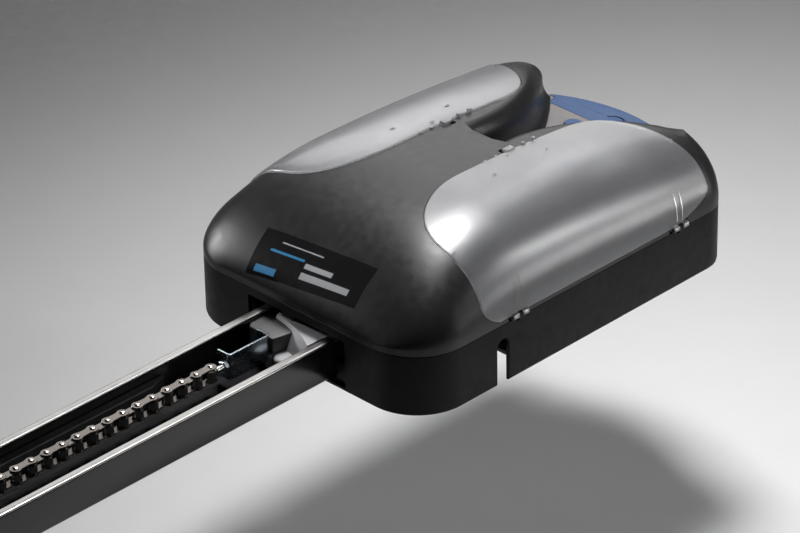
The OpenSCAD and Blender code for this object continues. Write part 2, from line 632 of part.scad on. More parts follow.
module brush_spots() for (s = [-1, 1])
    translate([spr_x + s * 112 - 6 - gap, -in_w + 0.1, 17 - gap]) children();
pod = [spr_x - 40, spr_x + 40, -36, 42];
module gearbox_hollow() {
    translate([spr_x, spr_y, gear_z - 6]) cylinder(r = wheel_r + 1, h = 12);
    rod_x(spr_x - 34, worm_y, gear_z, worm_r + 1.5, 68);
    translate([spr_x, spr_y, gear_z - 30]) cylinder(r = shaft_r + run, h = 60);
    rod_x(spr_x - 60, worm_y, gear_z, 3 + run, 120);
}
module gearbox_lower() color("#6d7073") difference() {
    union() {
        box([pod[0], pod[2], gear_z - 11], [pod[1], pod[3], gear_z]);
        for (x = [pod[0] + 6, pod[1] - 6]) for (y = [pod[2] + 6, pod[3] - 6])
            translate([x, y, plate_z + plate_h]) cylinder(r = 5, h = gear_z - 11 - plate_z - plate_h + 1);
    }
    gearbox_hollow();
}
module gearbox_upper() color("#77797c") difference() {
    box([pod[0], pod[2], gear_z], [pod[1], pod[3], gear_z + 11]);
    gearbox_hollow();
}
module motor_can() color("#4a4c50") difference() {
    rod_x(pod[1] + 0.2, worm_y, gear_z, motor_r, motor_l);
    rod_x(pod[1] - 1, worm_y, gear_z, motor_r - 2, motor_l - 3);
}
module worm_shaft() color("#b4b6b8") {
    rod_x(spr_x - 39, worm_y, gear_z, 3, 39 + 40 + motor_l - 6);
    for (i = [0 : 9]) rod_x(spr_x - 24 + 5 * i, worm_y, gear_z, worm_r, 2.5);
    rod_x(spr_x - 25, worm_y, gear_z, worm_r - 1.6, 50);
    rod_x(pod[1] + 6, worm_y, gear_z, motor_r - 5, motor_l - 24);
}
module gear_wheel() color("#d8cfae") difference() {
    union() {
        translate([spr_x, spr_y, gear_z - 5]) cylinder(r = wheel_r - 1.6, h = 10);
        for (i = [0 : 35]) translate([spr_x, spr_y, gear_z - 5]) rotate(i * 10)
            translate([wheel_r - 2, -1, 0]) cube([2, 2, 10]);
    }
    translate([spr_x, spr_y, gear_z - 10]) cylinder(r = shaft_r, h = 20);
}
module drive_shaft() color("#b4b6b8")
    translate([spr_x, spr_y, 14]) cylinder(r = shaft_r, h = gear_z + 10 - 14);
module sprocket() color("#8d9093") difference() {
    translate([spr_x, spr_y, chain_z - 2.3]) linear_extrude(4.6) union() {
        circle(8.1);
        for (i = [0 : teeth - 1]) rotate(90 + 360 * i / teeth)
            polygon([[7, -2.6], [pedal - 1.5, -1.7], [pedal + 1.9, -0.8], [pedal + 1.9, 0.8], [pedal - 1.5, 1.7], [7, 2.6]]);
    }
    translate([spr_x, spr_y, 10]) cylinder(r = shaft_r, h = 30);
}
module contact_brushes() color("#c07a3a") brush_spots() translate([gap, 0.2, gap]) cube([12, 3, 5]);
cover_z = plate_z + plate_h + gap;
module rounded(a, b, r) intersection() {
    box(a, b);
    translate([0, 0, a[2]]) linear_extrude(b[2] - a[2]) {
        translate([a[0] + r, a[1]]) square([b[0] - a[0] - 2 * r, b[1] - a[1]]);
        translate([a[0], a[1] + r]) square([b[0] - a[0], b[1] - a[1] - 2 * r]);
        for (x = [a[0] + r, b[0] - r]) for (y = [a[1] + r, b[1] - r]) translate([x, y]) circle(r);
    }
    along_x(a[0], b[0] - a[0]) {
        translate([a[1], a[2]]) square([b[1] - a[1], b[2] - a[2] - r]);
        translate([a[1] + r, a[2]]) square([b[1] - a[1] - 2 * r, b[2] - a[2]]);
        for (y = [a[1] + r, b[1] - r]) translate([y, b[2] - r]) circle(r);
    }
}
pin_x = spr_x - 118;
pin_z = car_h + 9;
lever_z = 66;
lever_x = spr_x - car_l / 2 + 9;
module carriage_cover() color("#2a2b2e") difference() {
    union() {
        rounded([spr_x - car_l / 2, -car_w / 2, cover_z], [spr_x + car_l / 2, car_w / 2, car_h], 14);
        both_sides() arm_ear();
    }
    rounded([spr_x - car_l / 2 + 2.6, -car_w / 2 + 2.6, cover_z - 20], [spr_x + car_l / 2 - 2.6, car_w / 2 - 2.6, car_h - 2.6], 11.4);
    rod_y(pin_x, -30, pin_z, arm_pin_d / 2, 60);
    box([spr_x - car_l / 2 - 1, -13, lever_z - 5], [spr_x - car_l / 2 + 5, 13, lever_z + 19]);
}
module arm_ear() {
    box([pin_x - 9, 14, car_h - 3], [pin_x + 9, 20, pin_z]);
    rod_y(pin_x, 14, pin_z, 9, 6);
}
module lever_pin() color("silver") rod_y(lever_x, -15, lever_z, 2, 30);
module release_lever() color("#3d7f4d") difference() {
    union() {
        box([lever_x - 40, -10, lever_z - 3], [lever_x, 10, lever_z + 3]);
        rod_y(lever_x, -10, lever_z, 5, 20);
        rod_y(lever_x - 38, -12, lever_z, 4.5, 24);
    }
    rod_y(lever_x, -20, lever_z, 2 + run, 40);
    translate([lever_x - 28, 0, lever_z - 5]) cylinder(r = 4, h = 10);
}
module arm_pin() color("silver") {
    rod_y(pin_x, -20.4, pin_z, arm_pin_d / 2, 41);
    both_sides() rod_y(pin_x, 20.4, pin_z, arm_pin_d / 2 + 2, 2.4);
}
arm_t = 3;
door_pin_x = pin_x + arm_l;
module door_arm() color("#b9c3c8") difference() {
    union() {
        both_sides() along_y(9, arm_t) {
            translate([pin_x, pin_z - 7]) square([arm_l, 14]);
            translate([pin_x, pin_z]) circle(7);
            translate([door_pin_x, pin_z]) circle(7);
        }
        box([pin_x + 14, -10, pin_z + 4], [door_pin_x - 14, 10, pin_z + 7]);
    }
    rod_y(pin_x, -30, pin_z, arm_pin_d / 2 + run, 60);
    rod_y(door_pin_x, -30, pin_z, arm_pin_d / 2 + run, 60);
}
module door_pin() color("silver") {
    rod_y(door_pin_x, -15, pin_z, arm_pin_d / 2, 30);
    both_sides() rod_y(door_pin_x, 12.4, pin_z, arm_pin_d / 2 + 2, 2.4);
}
module door_bracket() color("#b9c3c8") difference() {
    union() {
        both_sides() along_y(5.4, arm_t) {
            translate([door_pin_x, pin_z - 6]) square([30, 12]);
            translate([door_pin_x, pin_z]) circle(6);
        }
        box([door_pin_x + 28, -30, pin_z - 6], [door_pin_x + 31, 30, pin_z + 34]);
    }
    rod_y(door_pin_x, -30, pin_z, arm_pin_d / 2 + run, 60);
    for (y = [-20, 20]) for (z = [6, 28]) rod_x(door_pin_x + 20, y, pin_z + z - 4, 3.2, 20);
}

base_housing();
base_plate();
face_cover();
rear_panel();
service_flap();
flap_pin();
push_button();
lamp_lens_right();
lamp_lens_left();
lens_pins();
lamp_tray_right();
lamp_tray_left();
led_boards();
cover_screws();
control_board();
relays();
capacitors();
button_switch();
radio_module();
transformer_core();
transformer_coil();
terminal_block();
power_inlet();
inlet_blades();
rail_section_1();
rail_section_2();
rail_section_3();
rail_joiner_1();
rail_joiner_2();
guide_strip();
head_insert();
chain_bracket();
chain_link_pin();
chain();
door_insert();
tension_bolt();
tension_spring();
tension_nut();
rail_end_yoke();
yoke_bolts();
lintel_bracket();
rail_saddle_1();
rail_saddle_2();
carriage_chassis();
gearbox_lower();
gearbox_upper();
motor_can();
worm_shaft();
gear_wheel();
drive_shaft();
sprocket();
contact_brushes();
carriage_cover();
release_lever();
lever_pin();
arm_pin();
door_arm();
door_pin();
door_bracket();
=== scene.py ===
"""Garage door opener: the looks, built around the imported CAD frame.

The scene is in metres. Sizes below are in millimetres in the CAD frame: +X along the rail towards the
head, +Z the lamp side. MM turns them into metres.
"""
import math

import bmesh
import bpy
import numpy as np
from mathutils import Matrix, Vector


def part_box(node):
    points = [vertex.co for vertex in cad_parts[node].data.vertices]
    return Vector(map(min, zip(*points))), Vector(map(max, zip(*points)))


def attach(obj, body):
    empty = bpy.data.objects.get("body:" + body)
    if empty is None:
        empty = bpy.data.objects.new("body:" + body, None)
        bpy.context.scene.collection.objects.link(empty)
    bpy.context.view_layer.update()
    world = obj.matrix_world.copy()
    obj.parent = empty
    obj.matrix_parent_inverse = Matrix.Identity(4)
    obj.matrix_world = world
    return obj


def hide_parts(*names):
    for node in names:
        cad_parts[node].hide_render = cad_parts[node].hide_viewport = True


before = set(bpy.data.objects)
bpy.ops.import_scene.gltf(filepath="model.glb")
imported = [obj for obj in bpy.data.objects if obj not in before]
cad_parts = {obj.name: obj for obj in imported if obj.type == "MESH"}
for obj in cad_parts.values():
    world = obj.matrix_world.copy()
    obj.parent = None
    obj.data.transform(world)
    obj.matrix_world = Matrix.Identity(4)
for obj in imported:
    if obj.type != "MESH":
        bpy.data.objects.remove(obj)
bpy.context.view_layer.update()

MM = 0.001


def node_box(node):
    """A CAD node's lowest and highest corner, in millimetres."""
    low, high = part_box(node)
    return [c / MM for c in low], [c / MM for c in high]


# ---------- driving sizes, from the frame ----------
HEAD_LOW, HEAD_HIGH = node_box("base_housing")
COVER_LOW, COVER_HIGH = node_box("face_cover")
REACH = 13                                  # how far the lamp pods run on past the cover's rear
X0, X1 = COVER_LOW[0], COVER_HIGH[0] + REACH
HALF = COVER_HIGH[1]                        # half the head's width
GAP = 0.3                                   # between the base and the cover
EAR_RISE = 4.9                              # hinge ears above the base's wall
BASE_H = HEAD_HIGH[2] - EAR_RISE + GAP      # joint between base and cover
BULGE_X = HEAD_HIGH[0]                      # rear end of the bulge
DECK_LOW, DECK_HIGH = node_box("rear_panel")
DECK_Z = DECK_HIGH[2]
RAIL_LOW, RAIL_HIGH = node_box("rail_section_1")
RAIL_Z, RAIL_TOP = RAIL_LOW[2], RAIL_HIGH[2]
RAIL_HALF = RAIL_HIGH[1]
RAIL_X = RAIL_HIGH[0]
CHAIN_LOW, CHAIN_HIGH = node_box("chain")
CHAIN_Y = (CHAIN_LOW[1] + CHAIN_HIGH[1]) / 2
CHAIN_Z = (CHAIN_LOW[2] + CHAIN_HIGH[2]) / 2

FRONT_R = 40            # plan radius of the head's front corners
REAR_R = 22             # plan radius of its rear corners
WALL = 3
BAY = 14                # depth of the lamp bays under the cover
LEDGE = 8               # width of the ledge that the lenses rest on
BULGE_R = 120
NOSE = 115              # length of the sloping nose
SPRING = 49             # where the cover's sides start to curve in
CROWN = 106             # highest point of the cover
DROP = 13               # how much lower the pods are at the rear
HEEL = 12               # radius of the pods' rear edge
PITCH = 12.7


# ---------- mesh helpers ----------
def link(obj):
    bpy.context.scene.collection.objects.link(obj)
    return obj


def sharpen(mesh, angle=32):
    """Shades smooth, with hard edges where the surface turns by more than the angle."""
    bm = bmesh.new()
    bm.from_mesh(mesh)
    limit = math.radians(angle)
    for face in bm.faces:
        face.smooth = True
    for edge in bm.edges:
        edge.smooth = len(edge.link_faces) == 2 and edge.calc_face_angle(0) < limit
    bm.to_mesh(mesh)
    bm.free()


def solid(name, verts, faces, angle=32, second=None):
    """A closed mesh object from points in millimetres, with its normals outward.
    Faces from the index `second` on take the object's second material."""
    mesh = bpy.data.meshes.new(name)
    mesh.from_pydata([[c * MM for c in v] for v in verts], [], [list(f) for f in faces])
    if second is not None:
        mesh.polygons.foreach_set("material_index", [int(i >= second) for i in range(len(faces))])
    bm = bmesh.new()
    bm.from_mesh(mesh)
    bmesh.ops.remove_doubles(bm, verts=bm.verts, dist=1e-6)
    bmesh.ops.dissolve_degenerate(bm, edges=bm.edges, dist=1e-7)
    bmesh.ops.recalc_face_normals(bm, faces=bm.faces)
    bm.to_mesh(mesh)
    bm.free()
    sharpen(mesh, angle)
    return link(bpy.data.objects.new(name, mesh))


def grid_faces(rows, cols, start=0, wrap=False):
    """Quads between rows of points; wrap closes each row on itself."""
    quads = []
    last = cols if wrap else cols - 1
    for r in range(rows - 1):
        for c in range(last):
            d = (c + 1) % cols
            a, b = start + r * cols, start + (r + 1) * cols
            quads.append([a + c, a + d, b + d, b + c])
    return quads


def loft(name, rings, caps=True, closed=False, angle=32):
    """Skin over rings with equal numbers of points; closed joins the last ring to the first."""
    cols = len(rings[0])
    verts = [p for ring in rings for p in ring]
    faces = grid_faces(len(rings), cols, wrap=True)
    if closed:
        last = (len(rings) - 1) * cols
        for c in range(cols):
            d = (c + 1) % cols
            faces.append([last + c, last + d, d, c])
    elif caps:
        faces.append(list(range(cols)))
        faces.append(list(range((len(rings) - 1) * cols, len(rings) * cols)))
    return solid(name, verts, faces, angle)


def boolean(obj, cutters, operation="DIFFERENCE", angle=32):
    """Applies a boolean with each cutter, removes the cutters and shades the result again."""
    for cutter in cutters:
        mod = obj.modifiers.new("cut", "BOOLEAN")
        mod.operation, mod.solver, mod.object = operation, "EXACT", cutter
        graph = bpy.context.evaluated_depsgraph_get()
        mesh = bpy.data.meshes.new_from_object(obj.evaluated_get(graph))
        obj.modifiers.clear()
        obj.data = mesh
        bpy.data.objects.remove(cutter)
    sharpen(obj.data, angle)
    return obj


def bevelled(obj, width, angle=35):
    """Rounds the hard edges."""
    mod = obj.modifiers.new("bevel", "BEVEL")
    mod.width, mod.segments, mod.limit_method, mod.angle_limit = width * MM, 2, "ANGLE", math.radians(angle)
    graph = bpy.context.evaluated_depsgraph_get()
    mesh = bpy.data.meshes.new_from_object(obj.evaluated_get(graph))
    obj.modifiers.clear()
    obj.data = mesh
    sharpen(mesh, angle)
    return obj


def joined(name, parts):
    """Joins objects into one."""
    target = parts[0]
    with bpy.context.temp_override(active_object=target, selected_editable_objects=parts):
        bpy.ops.object.join()
    target.name = name
    return target


def arc(cx, cy, r, start, end, steps):
    """Points on an arc, angles in degrees."""
    angles = np.radians(np.linspace(start, end, steps))
    return [(cx + r * math.cos(a), cy + r * math.sin(a)) for a in angles]


def inset(outline, d):
    """Moves each point of a counter-clockwise outline inward by d."""
    pts = np.array(outline, float)
    ahead, behind = np.roll(pts, -1, 0) - pts, pts - np.roll(pts, 1, 0)
    normals = []
    for v in (ahead, behind):
        length = np.maximum(np.linalg.norm(v, axis=1), 1e-9)
        normals.append(np.stack([-v[:, 1], v[:, 0]], 1) / length[:, None])
    n = normals[0] + normals[1]
    n /= np.maximum((n * normals[0]).sum(1), 0.35)[:, None]
    return pts + n * d


def prism(name, outline, low, high, edge=0.5, angle=32, edge_low=None):
    """An upright plate with rounded edges: outline in X and Y, from z low to high."""
    edge_low = edge if edge_low is None else edge_low
    rings = []
    for t in np.linspace(0, math.pi / 2, 4):
        rings.append((edge_low * (1 - math.sin(t)), low + edge_low * (1 - math.cos(t))))
    for t in np.linspace(math.pi / 2, 0, 4):
        rings.append((edge * (1 - math.sin(t)), high - edge * (1 - math.cos(t))))
    return loft(name, [[(x, y, z) for x, y in inset(outline, d)] for d, z in rings], angle=angle)


def turned(name, profile, centre, axis, segments=32, angle=32):
    """A closed solid of revolution: profile points (radius, distance along the axis)."""
    axis = Vector(axis).normalized()
    side = axis.orthogonal().normalized()
    other = axis.cross(side)
    rings = []
    for r, h in profile:
        ring = []
        for k in range(segments):
            t = 2 * math.pi * k / segments
            ring.append(Vector(centre) + axis * h + (side * math.cos(t) + other * math.sin(t)) * max(r, 0.01))
        rings.append(ring)
    return loft(name, rings, angle=angle)


def block(name, low, high, edge=0.4, angle=32):
    """A box with rounded vertical and horizontal edges."""
    r = edge * 1.5
    (ax, ay, az), (bx, by, bz) = low, high
    outline = arc(bx - r, ay + r, r, -90, 0, 4) + arc(bx - r, by - r, r, 0, 90, 4)
    outline += arc(ax + r, by - r, r, 90, 180, 4) + arc(ax + r, ay + r, r, 180, 270, 4)
    return prism(name, outline, az, bz, edge, angle)


def on_side(obj, side):
    """The object as built on the right, or moved to the left by a mirror."""
    if side < 0:
        return obj
    other, name = mirrored(obj, "swap"), obj.name
    bpy.data.objects.remove(obj)
    other.name = name
    return other


def mirrored(obj, name):
    """A copy of obj on the other side of the XZ plane."""
    mesh = obj.data.copy()
    mesh.transform(Matrix.Scale(-1, 4, (0, 1, 0)))
    mesh.flip_normals()
    return link(bpy.data.objects.new(name, mesh))


# ---------- materials ----------
def nodes_of(name):
    mat = bpy.data.materials.new(name)
    mat.use_nodes = True
    tree = mat.node_tree
    shader = tree.nodes["Principled BSDF"]
    coords = tree.nodes.new("ShaderNodeTexCoord")
    return mat, tree, shader, coords.outputs["Object"]


def noise(tree, coords, size, detail=3, stretch=(1, 1, 1)):
    """A noise value whose lumps are about size metres across."""
    mapping = tree.nodes.new("ShaderNodeMapping")
    mapping.inputs["Scale"].default_value = [s / size for s in stretch]
    tree.links.new(coords, mapping.inputs["Vector"])
    tex = tree.nodes.new("ShaderNodeTexNoise")
    tex.inputs["Scale"].default_value = 1
    tex.inputs["Detail"].default_value = detail
    tree.links.new(mapping.outputs["Vector"], tex.inputs["Vector"])
    return tex.outputs["Fac"]


def remap(tree, value, low, high, from_low=0.3, from_high=0.7):
    node = tree.nodes.new("ShaderNodeMapRange")
    for key, v in (("From Min", from_low), ("From Max", from_high), ("To Min", low), ("To Max", high)):
        node.inputs[key].default_value = v
    tree.links.new(value, node.inputs["Value"])
    return node.outputs["Result"]


def blend_colors(tree, factor, a, b):
    mix = tree.nodes.new("ShaderNodeMix")
    mix.data_type = "RGBA"
    tree.links.new(factor, mix.inputs["Factor"])
    for socket, color in ((mix.inputs["A"], a), (mix.inputs["B"], b)):
        if isinstance(color, bpy.types.NodeSocket):
            tree.links.new(color, socket)
        else:
            socket.default_value = (*color, 1)
    return mix.outputs["Result"]


def bump(tree, shader, height, depth, strength=1.0):
    node = tree.nodes.new("ShaderNodeBump")
    node.inputs["Distance"].default_value = depth
    node.inputs["Strength"].default_value = strength
    tree.links.new(height, node.inputs["Height"])
    tree.links.new(node.outputs["Normal"], shader.inputs["Normal"])


def plastic(name, color, rough, grain=0.0008, depth=0.00004, vary=0.12, ior=1.5, coat=0.0):
    """Moulded plastic: fine sparked grain, a little uneven in colour and gloss."""
    mat, tree, shader, at = nodes_of(name)
    cloud = noise(tree, at, 0.035, 4)
    dark = [c * (1 - vary) for c in color]
    light = [min(1, c * (1 + vary)) for c in color]
    tree.links.new(blend_colors(tree, remap(tree, cloud, 0, 1), dark, light), shader.inputs["Base Color"])
    tree.links.new(remap(tree, noise(tree, at, 0.006, 3), rough * 0.9, rough * 1.12), shader.inputs["Roughness"])
    bump(tree, shader, noise(tree, at, grain, 2), depth)
    shader.inputs["IOR"].default_value = ior
    shader.inputs["Coat Weight"].default_value = coat
    shader.inputs["Coat Roughness"].default_value = 0.12
    return mat


def metal(name, color, rough, brush=(1, 1, 1), spangle=0.0, tint=None, metallic=1.0):
    """Metal with faint rolling lines, and zinc spangles where spangle is above zero."""
    mat, tree, shader, at = nodes_of(name)
    lines = noise(tree, at, 0.0012, 3, brush)
    other = tint or [c * 0.8 for c in color]
    patches = noise(tree, at, 0.012 if spangle else 0.03, 5)
    tree.links.new(blend_colors(tree, remap(tree, patches, 0, 1), color, other), shader.inputs["Base Color"])
    tree.links.new(remap(tree, lines, rough * 0.8, rough * 1.25), shader.inputs["Roughness"])
    shader.inputs["Metallic"].default_value = metallic
    bump(tree, shader, lines, 0.00002)
    return mat


SHELL = plastic("shell_black", (0.016, 0.016, 0.017), 0.36, grain=0.0007, depth=0.00005)
# painted shade: the base housing takes a darker, less reflective copy of the cover's black plastic, for the shade on
# its sides
SHELL_BASE_SHADED = plastic("shell_base_painted_shade", (0.010, 0.009, 0.010), 0.5, grain=0.0007, depth=0.00005, ior=1.25)
DECK = plastic("deck_grey", (0.15, 0.14, 0.14), 0.5, vary=0.05)
BLUE = plastic("accent_blue", (0.013, 0.055, 0.16), 0.5, vary=0.05)
TRAY = plastic("tray_white", (0.82, 0.82, 0.81), 0.25, vary=0.02)
# Painted shade on the tray: its white turns near-black towards its sides (|y| from 56 to 74 mm); the led_boards take
# this material too
tree, shader = TRAY.node_tree, TRAY.node_tree.nodes["Principled BSDF"]
where = tree.nodes.new("ShaderNodeSeparateXYZ")
tree.links.new(next(n for n in tree.nodes if n.bl_idname == "ShaderNodeTexCoord").outputs["Object"], where.inputs[0])
white = shader.inputs["Base Color"].links[0].from_socket
across = tree.nodes.new("ShaderNodeMath")
across.operation = "ABSOLUTE"
tree.links.new(where.outputs["Y"], across.inputs[0])
shade = remap(tree, across.outputs[0], 1, 0, 0.056, 0.074)      # painted shade: the tray's colour goes near-black towards its sides, for the shade seen through the lens's shoulder
tree.links.new(blend_colors(tree, shade, (0.03, 0.03, 0.032), white), shader.inputs["Base Color"])
STRIP = plastic("strip_grey", (0.035, 0.035, 0.037), 0.45)
# painted shade: a dark copy of the insert's light grey plastic, for the shade on the insert block's top
INSERT_SHADED = plastic("insert_grey", (0.13, 0.125, 0.13), 0.4, vary=0.06)
INSERT_LIGHT = plastic("insert_light", (0.55, 0.54, 0.56), 0.35, vary=0.05)
DARK = plastic("part_dark", (0.03, 0.03, 0.033), 0.4)
GREEN_BOARD = plastic("board_green", (0.012, 0.13, 0.05), 0.3)
RELAY = plastic("relay_blue", (0.03, 0.09, 0.33), 0.35)
TERMINAL = plastic("terminal_green", (0.03, 0.27, 0.12), 0.35)
NYLON = plastic("wheel_nylon", (0.7, 0.66, 0.5), 0.4, vary=0.04)
LEVER = plastic("lever_green", (0.03, 0.22, 0.07), 0.3)
ZINC = metal("zinc", (0.52, 0.58, 0.62), 0.24, spangle=1.0, tint=(0.40, 0.47, 0.52))
STEEL = metal("steel", (0.6, 0.6, 0.61), 0.25, brush=(0.1, 1, 1))
NICKEL = metal("chain_roller", (0.78, 0.75, 0.72), 0.14)
# partly painted reflection: the plates' brownish tone is their own, their darkness stands in for the dark surroundings
# they mirror
PLATE_TONE_AND_REFLECTION = metal("chain_plate_painted_dark", (0.20, 0.18, 0.165), 0.26)
COPPER = metal("copper", (0.75, 0.38, 0.2), 0.3, brush=(1, 0.1, 1))
BRASS = metal("contact_brass", (0.72, 0.55, 0.28), 0.25)
CAST = metal("gearbox_cast", (0.42, 0.43, 0.44), 0.45, spangle=1.0)
LAMINATION = metal("lamination", (0.16, 0.17, 0.18), 0.4, brush=(1, 0.05, 1), metallic=0.7)
MOTOR = metal("motor_dark", (0.06, 0.06, 0.065), 0.3, metallic=0.6)


def lens_material():
    """Frosted clear plastic: satin outside, grained inside, the light comes through it."""
    mat, tree, shader, at = nodes_of("lens_frost")
    tree.links.new(
        blend_colors(tree, remap(tree, noise(tree, at, 0.02, 4), 0, 1), (0.72, 0.72, 0.75), (0.80, 0.80, 0.82)),
        shader.inputs["Base Color"],
    )
    tree.links.new(remap(tree, noise(tree, at, 0.004, 3), 0.34, 0.38), shader.inputs["Roughness"])
    shader.inputs["Transmission Weight"].default_value = 0.92
    shader.inputs["IOR"].default_value = 1.5
    shader.inputs["Coat Weight"].default_value = 0.6
    shader.inputs["Coat Roughness"].default_value = 0.22
    shader.inputs["Coat IOR"].default_value = 1.55
    bump(tree, shader, noise(tree, at, 0.0007, 2), 0.00002)
    return mat


LENS = lens_material()
# painted highlight: the lens's rim faces take an opaque near-white plastic for the bright line along its edge, over the
# edge's own pale frosted look
LENS_EDGE_PALE_AND_HIGHLIGHT = plastic("lens_edge_pale_and_highlight", (0.85, 0.85, 0.88), 0.2, vary=0.02, ior=1.6)


def rail_material():
    """Black coated strip steel: glossy sides and lips worn bright."""
    mat, tree, shader, at = nodes_of("rail_black")
    tree.links.new(
        blend_colors(tree, remap(tree, noise(tree, at, 0.03, 4, (0.15, 1, 1)), 0, 1), (0.008, 0.008, 0.009), (0.016, 0.016, 0.018)),
        shader.inputs["Base Color"],
    )
    tree.links.new(remap(tree, noise(tree, at, 0.0012, 3, (0.05, 1, 1)), 0.16, 0.26), shader.inputs["Roughness"])
    shader.inputs["IOR"].default_value = 1.6
    bump(tree, shader, noise(tree, at, 0.0015, 2, (0.1, 1, 1)), 0.00002)
    return mat


RAIL = rail_material()
LIP = metal("rail_lip", (0.42, 0.41, 0.40), 0.3, brush=(0.04, 1, 1))


def dress(obj, mats, body, replaces=()):
    """Gives a finished piece its material, body, and the CAD nodes that it stands for."""
    if not isinstance(mats, (list, tuple)):
        mats = [mats]
    index = [p.material_index for p in obj.data.polygons]
    obj.data.materials.clear()
    for mat in mats:
        obj.data.materials.append(mat)
    obj.data.polygons.foreach_set("material_index", [min(i, len(mats) - 1) for i in index])
    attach(obj, body)
    if replaces:
        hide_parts(*replaces)
    return obj


# ---------- skin of the cover ----------
SECTION = 4.2           # exponent of the cover's cross-section
ANGLES = np.radians(np.linspace(0, 90, 1500))
SECTION_Y = HALF * np.cos(ANGLES) ** (2 / SECTION)
SECTION_Z = SPRING + (CROWN - SPRING) * np.sin(ANGLES)
SECTION_S = np.concatenate([[0], np.cumsum(np.hypot(np.diff(SECTION_Y), np.diff(SECTION_Z)))])
S_TOP = SECTION_S[-1]   # length of the section from the spring line to the middle


def skin_half(x, d=0.0):
    """Half width at x of the surface d inside the cover."""
    half = HALF - d
    front, rear = FRONT_R - d, max(REAR_R - d, 1)
    u = np.clip((x - X0 - d) / front, 0, 1)
    v = np.clip((X1 - d - x) / rear, 0, 1)
    return half - front * (1 - math.sqrt(1 - (1 - u) ** 2)) - rear * (1 - math.sqrt(1 - (1 - v) ** 2))


def skin_top(x, d=0.0):
    """Height at x of the crown line d inside the cover."""
    top = CROWN - d
    if x < X0 + NOSE:
        u = np.clip((X0 + NOSE - x) / (NOSE - d), 0, 1)
        return SPRING + (top - SPRING) * (1 - u ** 2.2) ** 0.714
    u = (x - X0 - NOSE) / (X1 - X0 - NOSE - HEEL)
    z = top - DROP * min(u, 1) ** 2
    v = np.clip((x - (X1 - HEEL - d)) / HEEL, 0, 1)
    return z - HEEL * (1 - math.sqrt(1 - v * v))


def skin_point(x, s, side=-1, d=0.0):
    """Point on the cover: s is the distance up the section, in millimetres from the spring line."""
    half, top = skin_half(x, d), skin_top(x, d)
    if s <= 0:
        return (x, side * half, SPRING + s)
    a = float(np.interp(s, SECTION_S, ANGLES))
    return (x, side * half * math.cos(a) ** (2 / SECTION), SPRING + (top - SPRING) * math.sin(a))


def skin_z(x, y, d=0.0):
    """Height of the cover above a point in plan."""
    u = min(abs(y) / skin_half(x, d), 1)
    return SPRING + (skin_top(x, d) - SPRING) * math.sqrt(max(1 - u ** SECTION, 0))


def dome(name, d, bottom):
    """Closed solid under the skin at depth d, down to z bottom."""
    nose = [X0 + d + (NOSE - d) * (1 - math.cos(a)) for a in np.radians(np.linspace(0, 90, 40))]
    middle = list(np.linspace(X0 + NOSE, X1 - HEEL - d, 46))[1:]
    heel = [X1 - HEEL - d + HEEL * math.sin(a) for a in np.radians(np.linspace(0, 90, 10))][1:]
    rows = [bottom - SPRING, -1.5] + list(np.linspace(0, S_TOP * 0.62, 44)) + list(np.linspace(S_TOP * 0.62, S_TOP, 18))[1:]
    rings = []
    for x in nose + middle + heel:
        right = [skin_point(x, s, -1, d) for s in rows]
        left = [skin_point(x, s, 1, d) for s in rows[:-1]]
        rings.append(right + left[::-1])
    return loft(name, rings)


# ---------- rear scoop ----------
SCOOP_X = X0 + 177      # rear edge of the spine


def scoop_half(x):
    """Half width between the pods' inner walls."""
    u = x - SCOOP_X - 18
    waist = 2.6 * max(0, 1 - (x - SCOOP_X) / 14) ** 2
    return 9.4 + 0.05 * u + 0.0042 * max(u, 0) ** 2 + waist


def shoulder(x, ramp):
    """Radii, across and down, of the round edge above the scoop."""
    if ramp:
        return 1.5, 2.0
    return 11 + 12 * float(np.clip((x - 118) / 38, 0, 1)) ** 1.5, 15.0


def scoop_cutter(name, grow=0.0, floor=DECK_Z - WALL):
    """Solid that cuts the scoop between the pods. Its walls flare out at the top in a round shoulder and run
    into the deck in a hollow; the spine's rear edge slopes down to the deck."""
    side = []
    for x in np.linspace(X1 + 4, SCOOP_X, 46):
        slope = (scoop_half(x + 0.02) - scoop_half(x - 0.02)) / 0.04
        n = Vector((-slope, 1, 0)).normalized()
        side.append((x, scoop_half(x), n.x, n.y, 0.0))
    front = []
    h = scoop_half(SCOOP_X)
    for t in np.linspace(1, -1, 13)[1:-1]:
        front.append((SCOOP_X, h * t, -1.0, 0.0, 1.0))
    outer = [(BULGE_X + 30, side[0][1] + 9, 0.0, 1.0, 0.0)]
    path = outer + side + front + [(x, -y, nx, -ny, k) for x, y, nx, ny, k in (outer + side)[::-1]]
    rings = []
    for level in range(20):
        ring = []
        for x, y, nx, ny, ramp in path:
            px, py = x + nx * grow, y + ny * grow
            if level < 8:                      # hollow at the foot, and the ramp behind the spine
                t = math.radians(90 * level / 7)
                off = -7 * (1 - math.sin(t)) * (1 - ramp) + ramp * 38 * (1 - level / 7) ** 1.4 * (-1)
                z = floor + 3 + 11 * (1 - math.cos(t)) - (3 + grow if level == 0 else 0)
                ring.append((px + nx * off, py + ny * off, z - grow * 0.5))
            elif level < 18:
                t = math.radians(86 * (level - 8) / 9)
                a, b = shoulder(x, ramp)
                off = a * (1 - math.cos(t))
                qx, qy = px + nx * off, py + ny * off
                ring.append((qx, qy, skin_z(min(qx, X1 - HEEL), min(abs(qy), HALF * 0.8)) - b * (1 - math.sin(t))))
            else:
                off = shoulder(x, ramp)[0] * (1 - math.cos(math.radians(86))) + (2 if level == 18 else 4)
                ring.append((px + nx * off, py + ny * off, CROWN + (3 if level == 18 else 30)))
        rings.append(ring)
    return loft(name, rings)


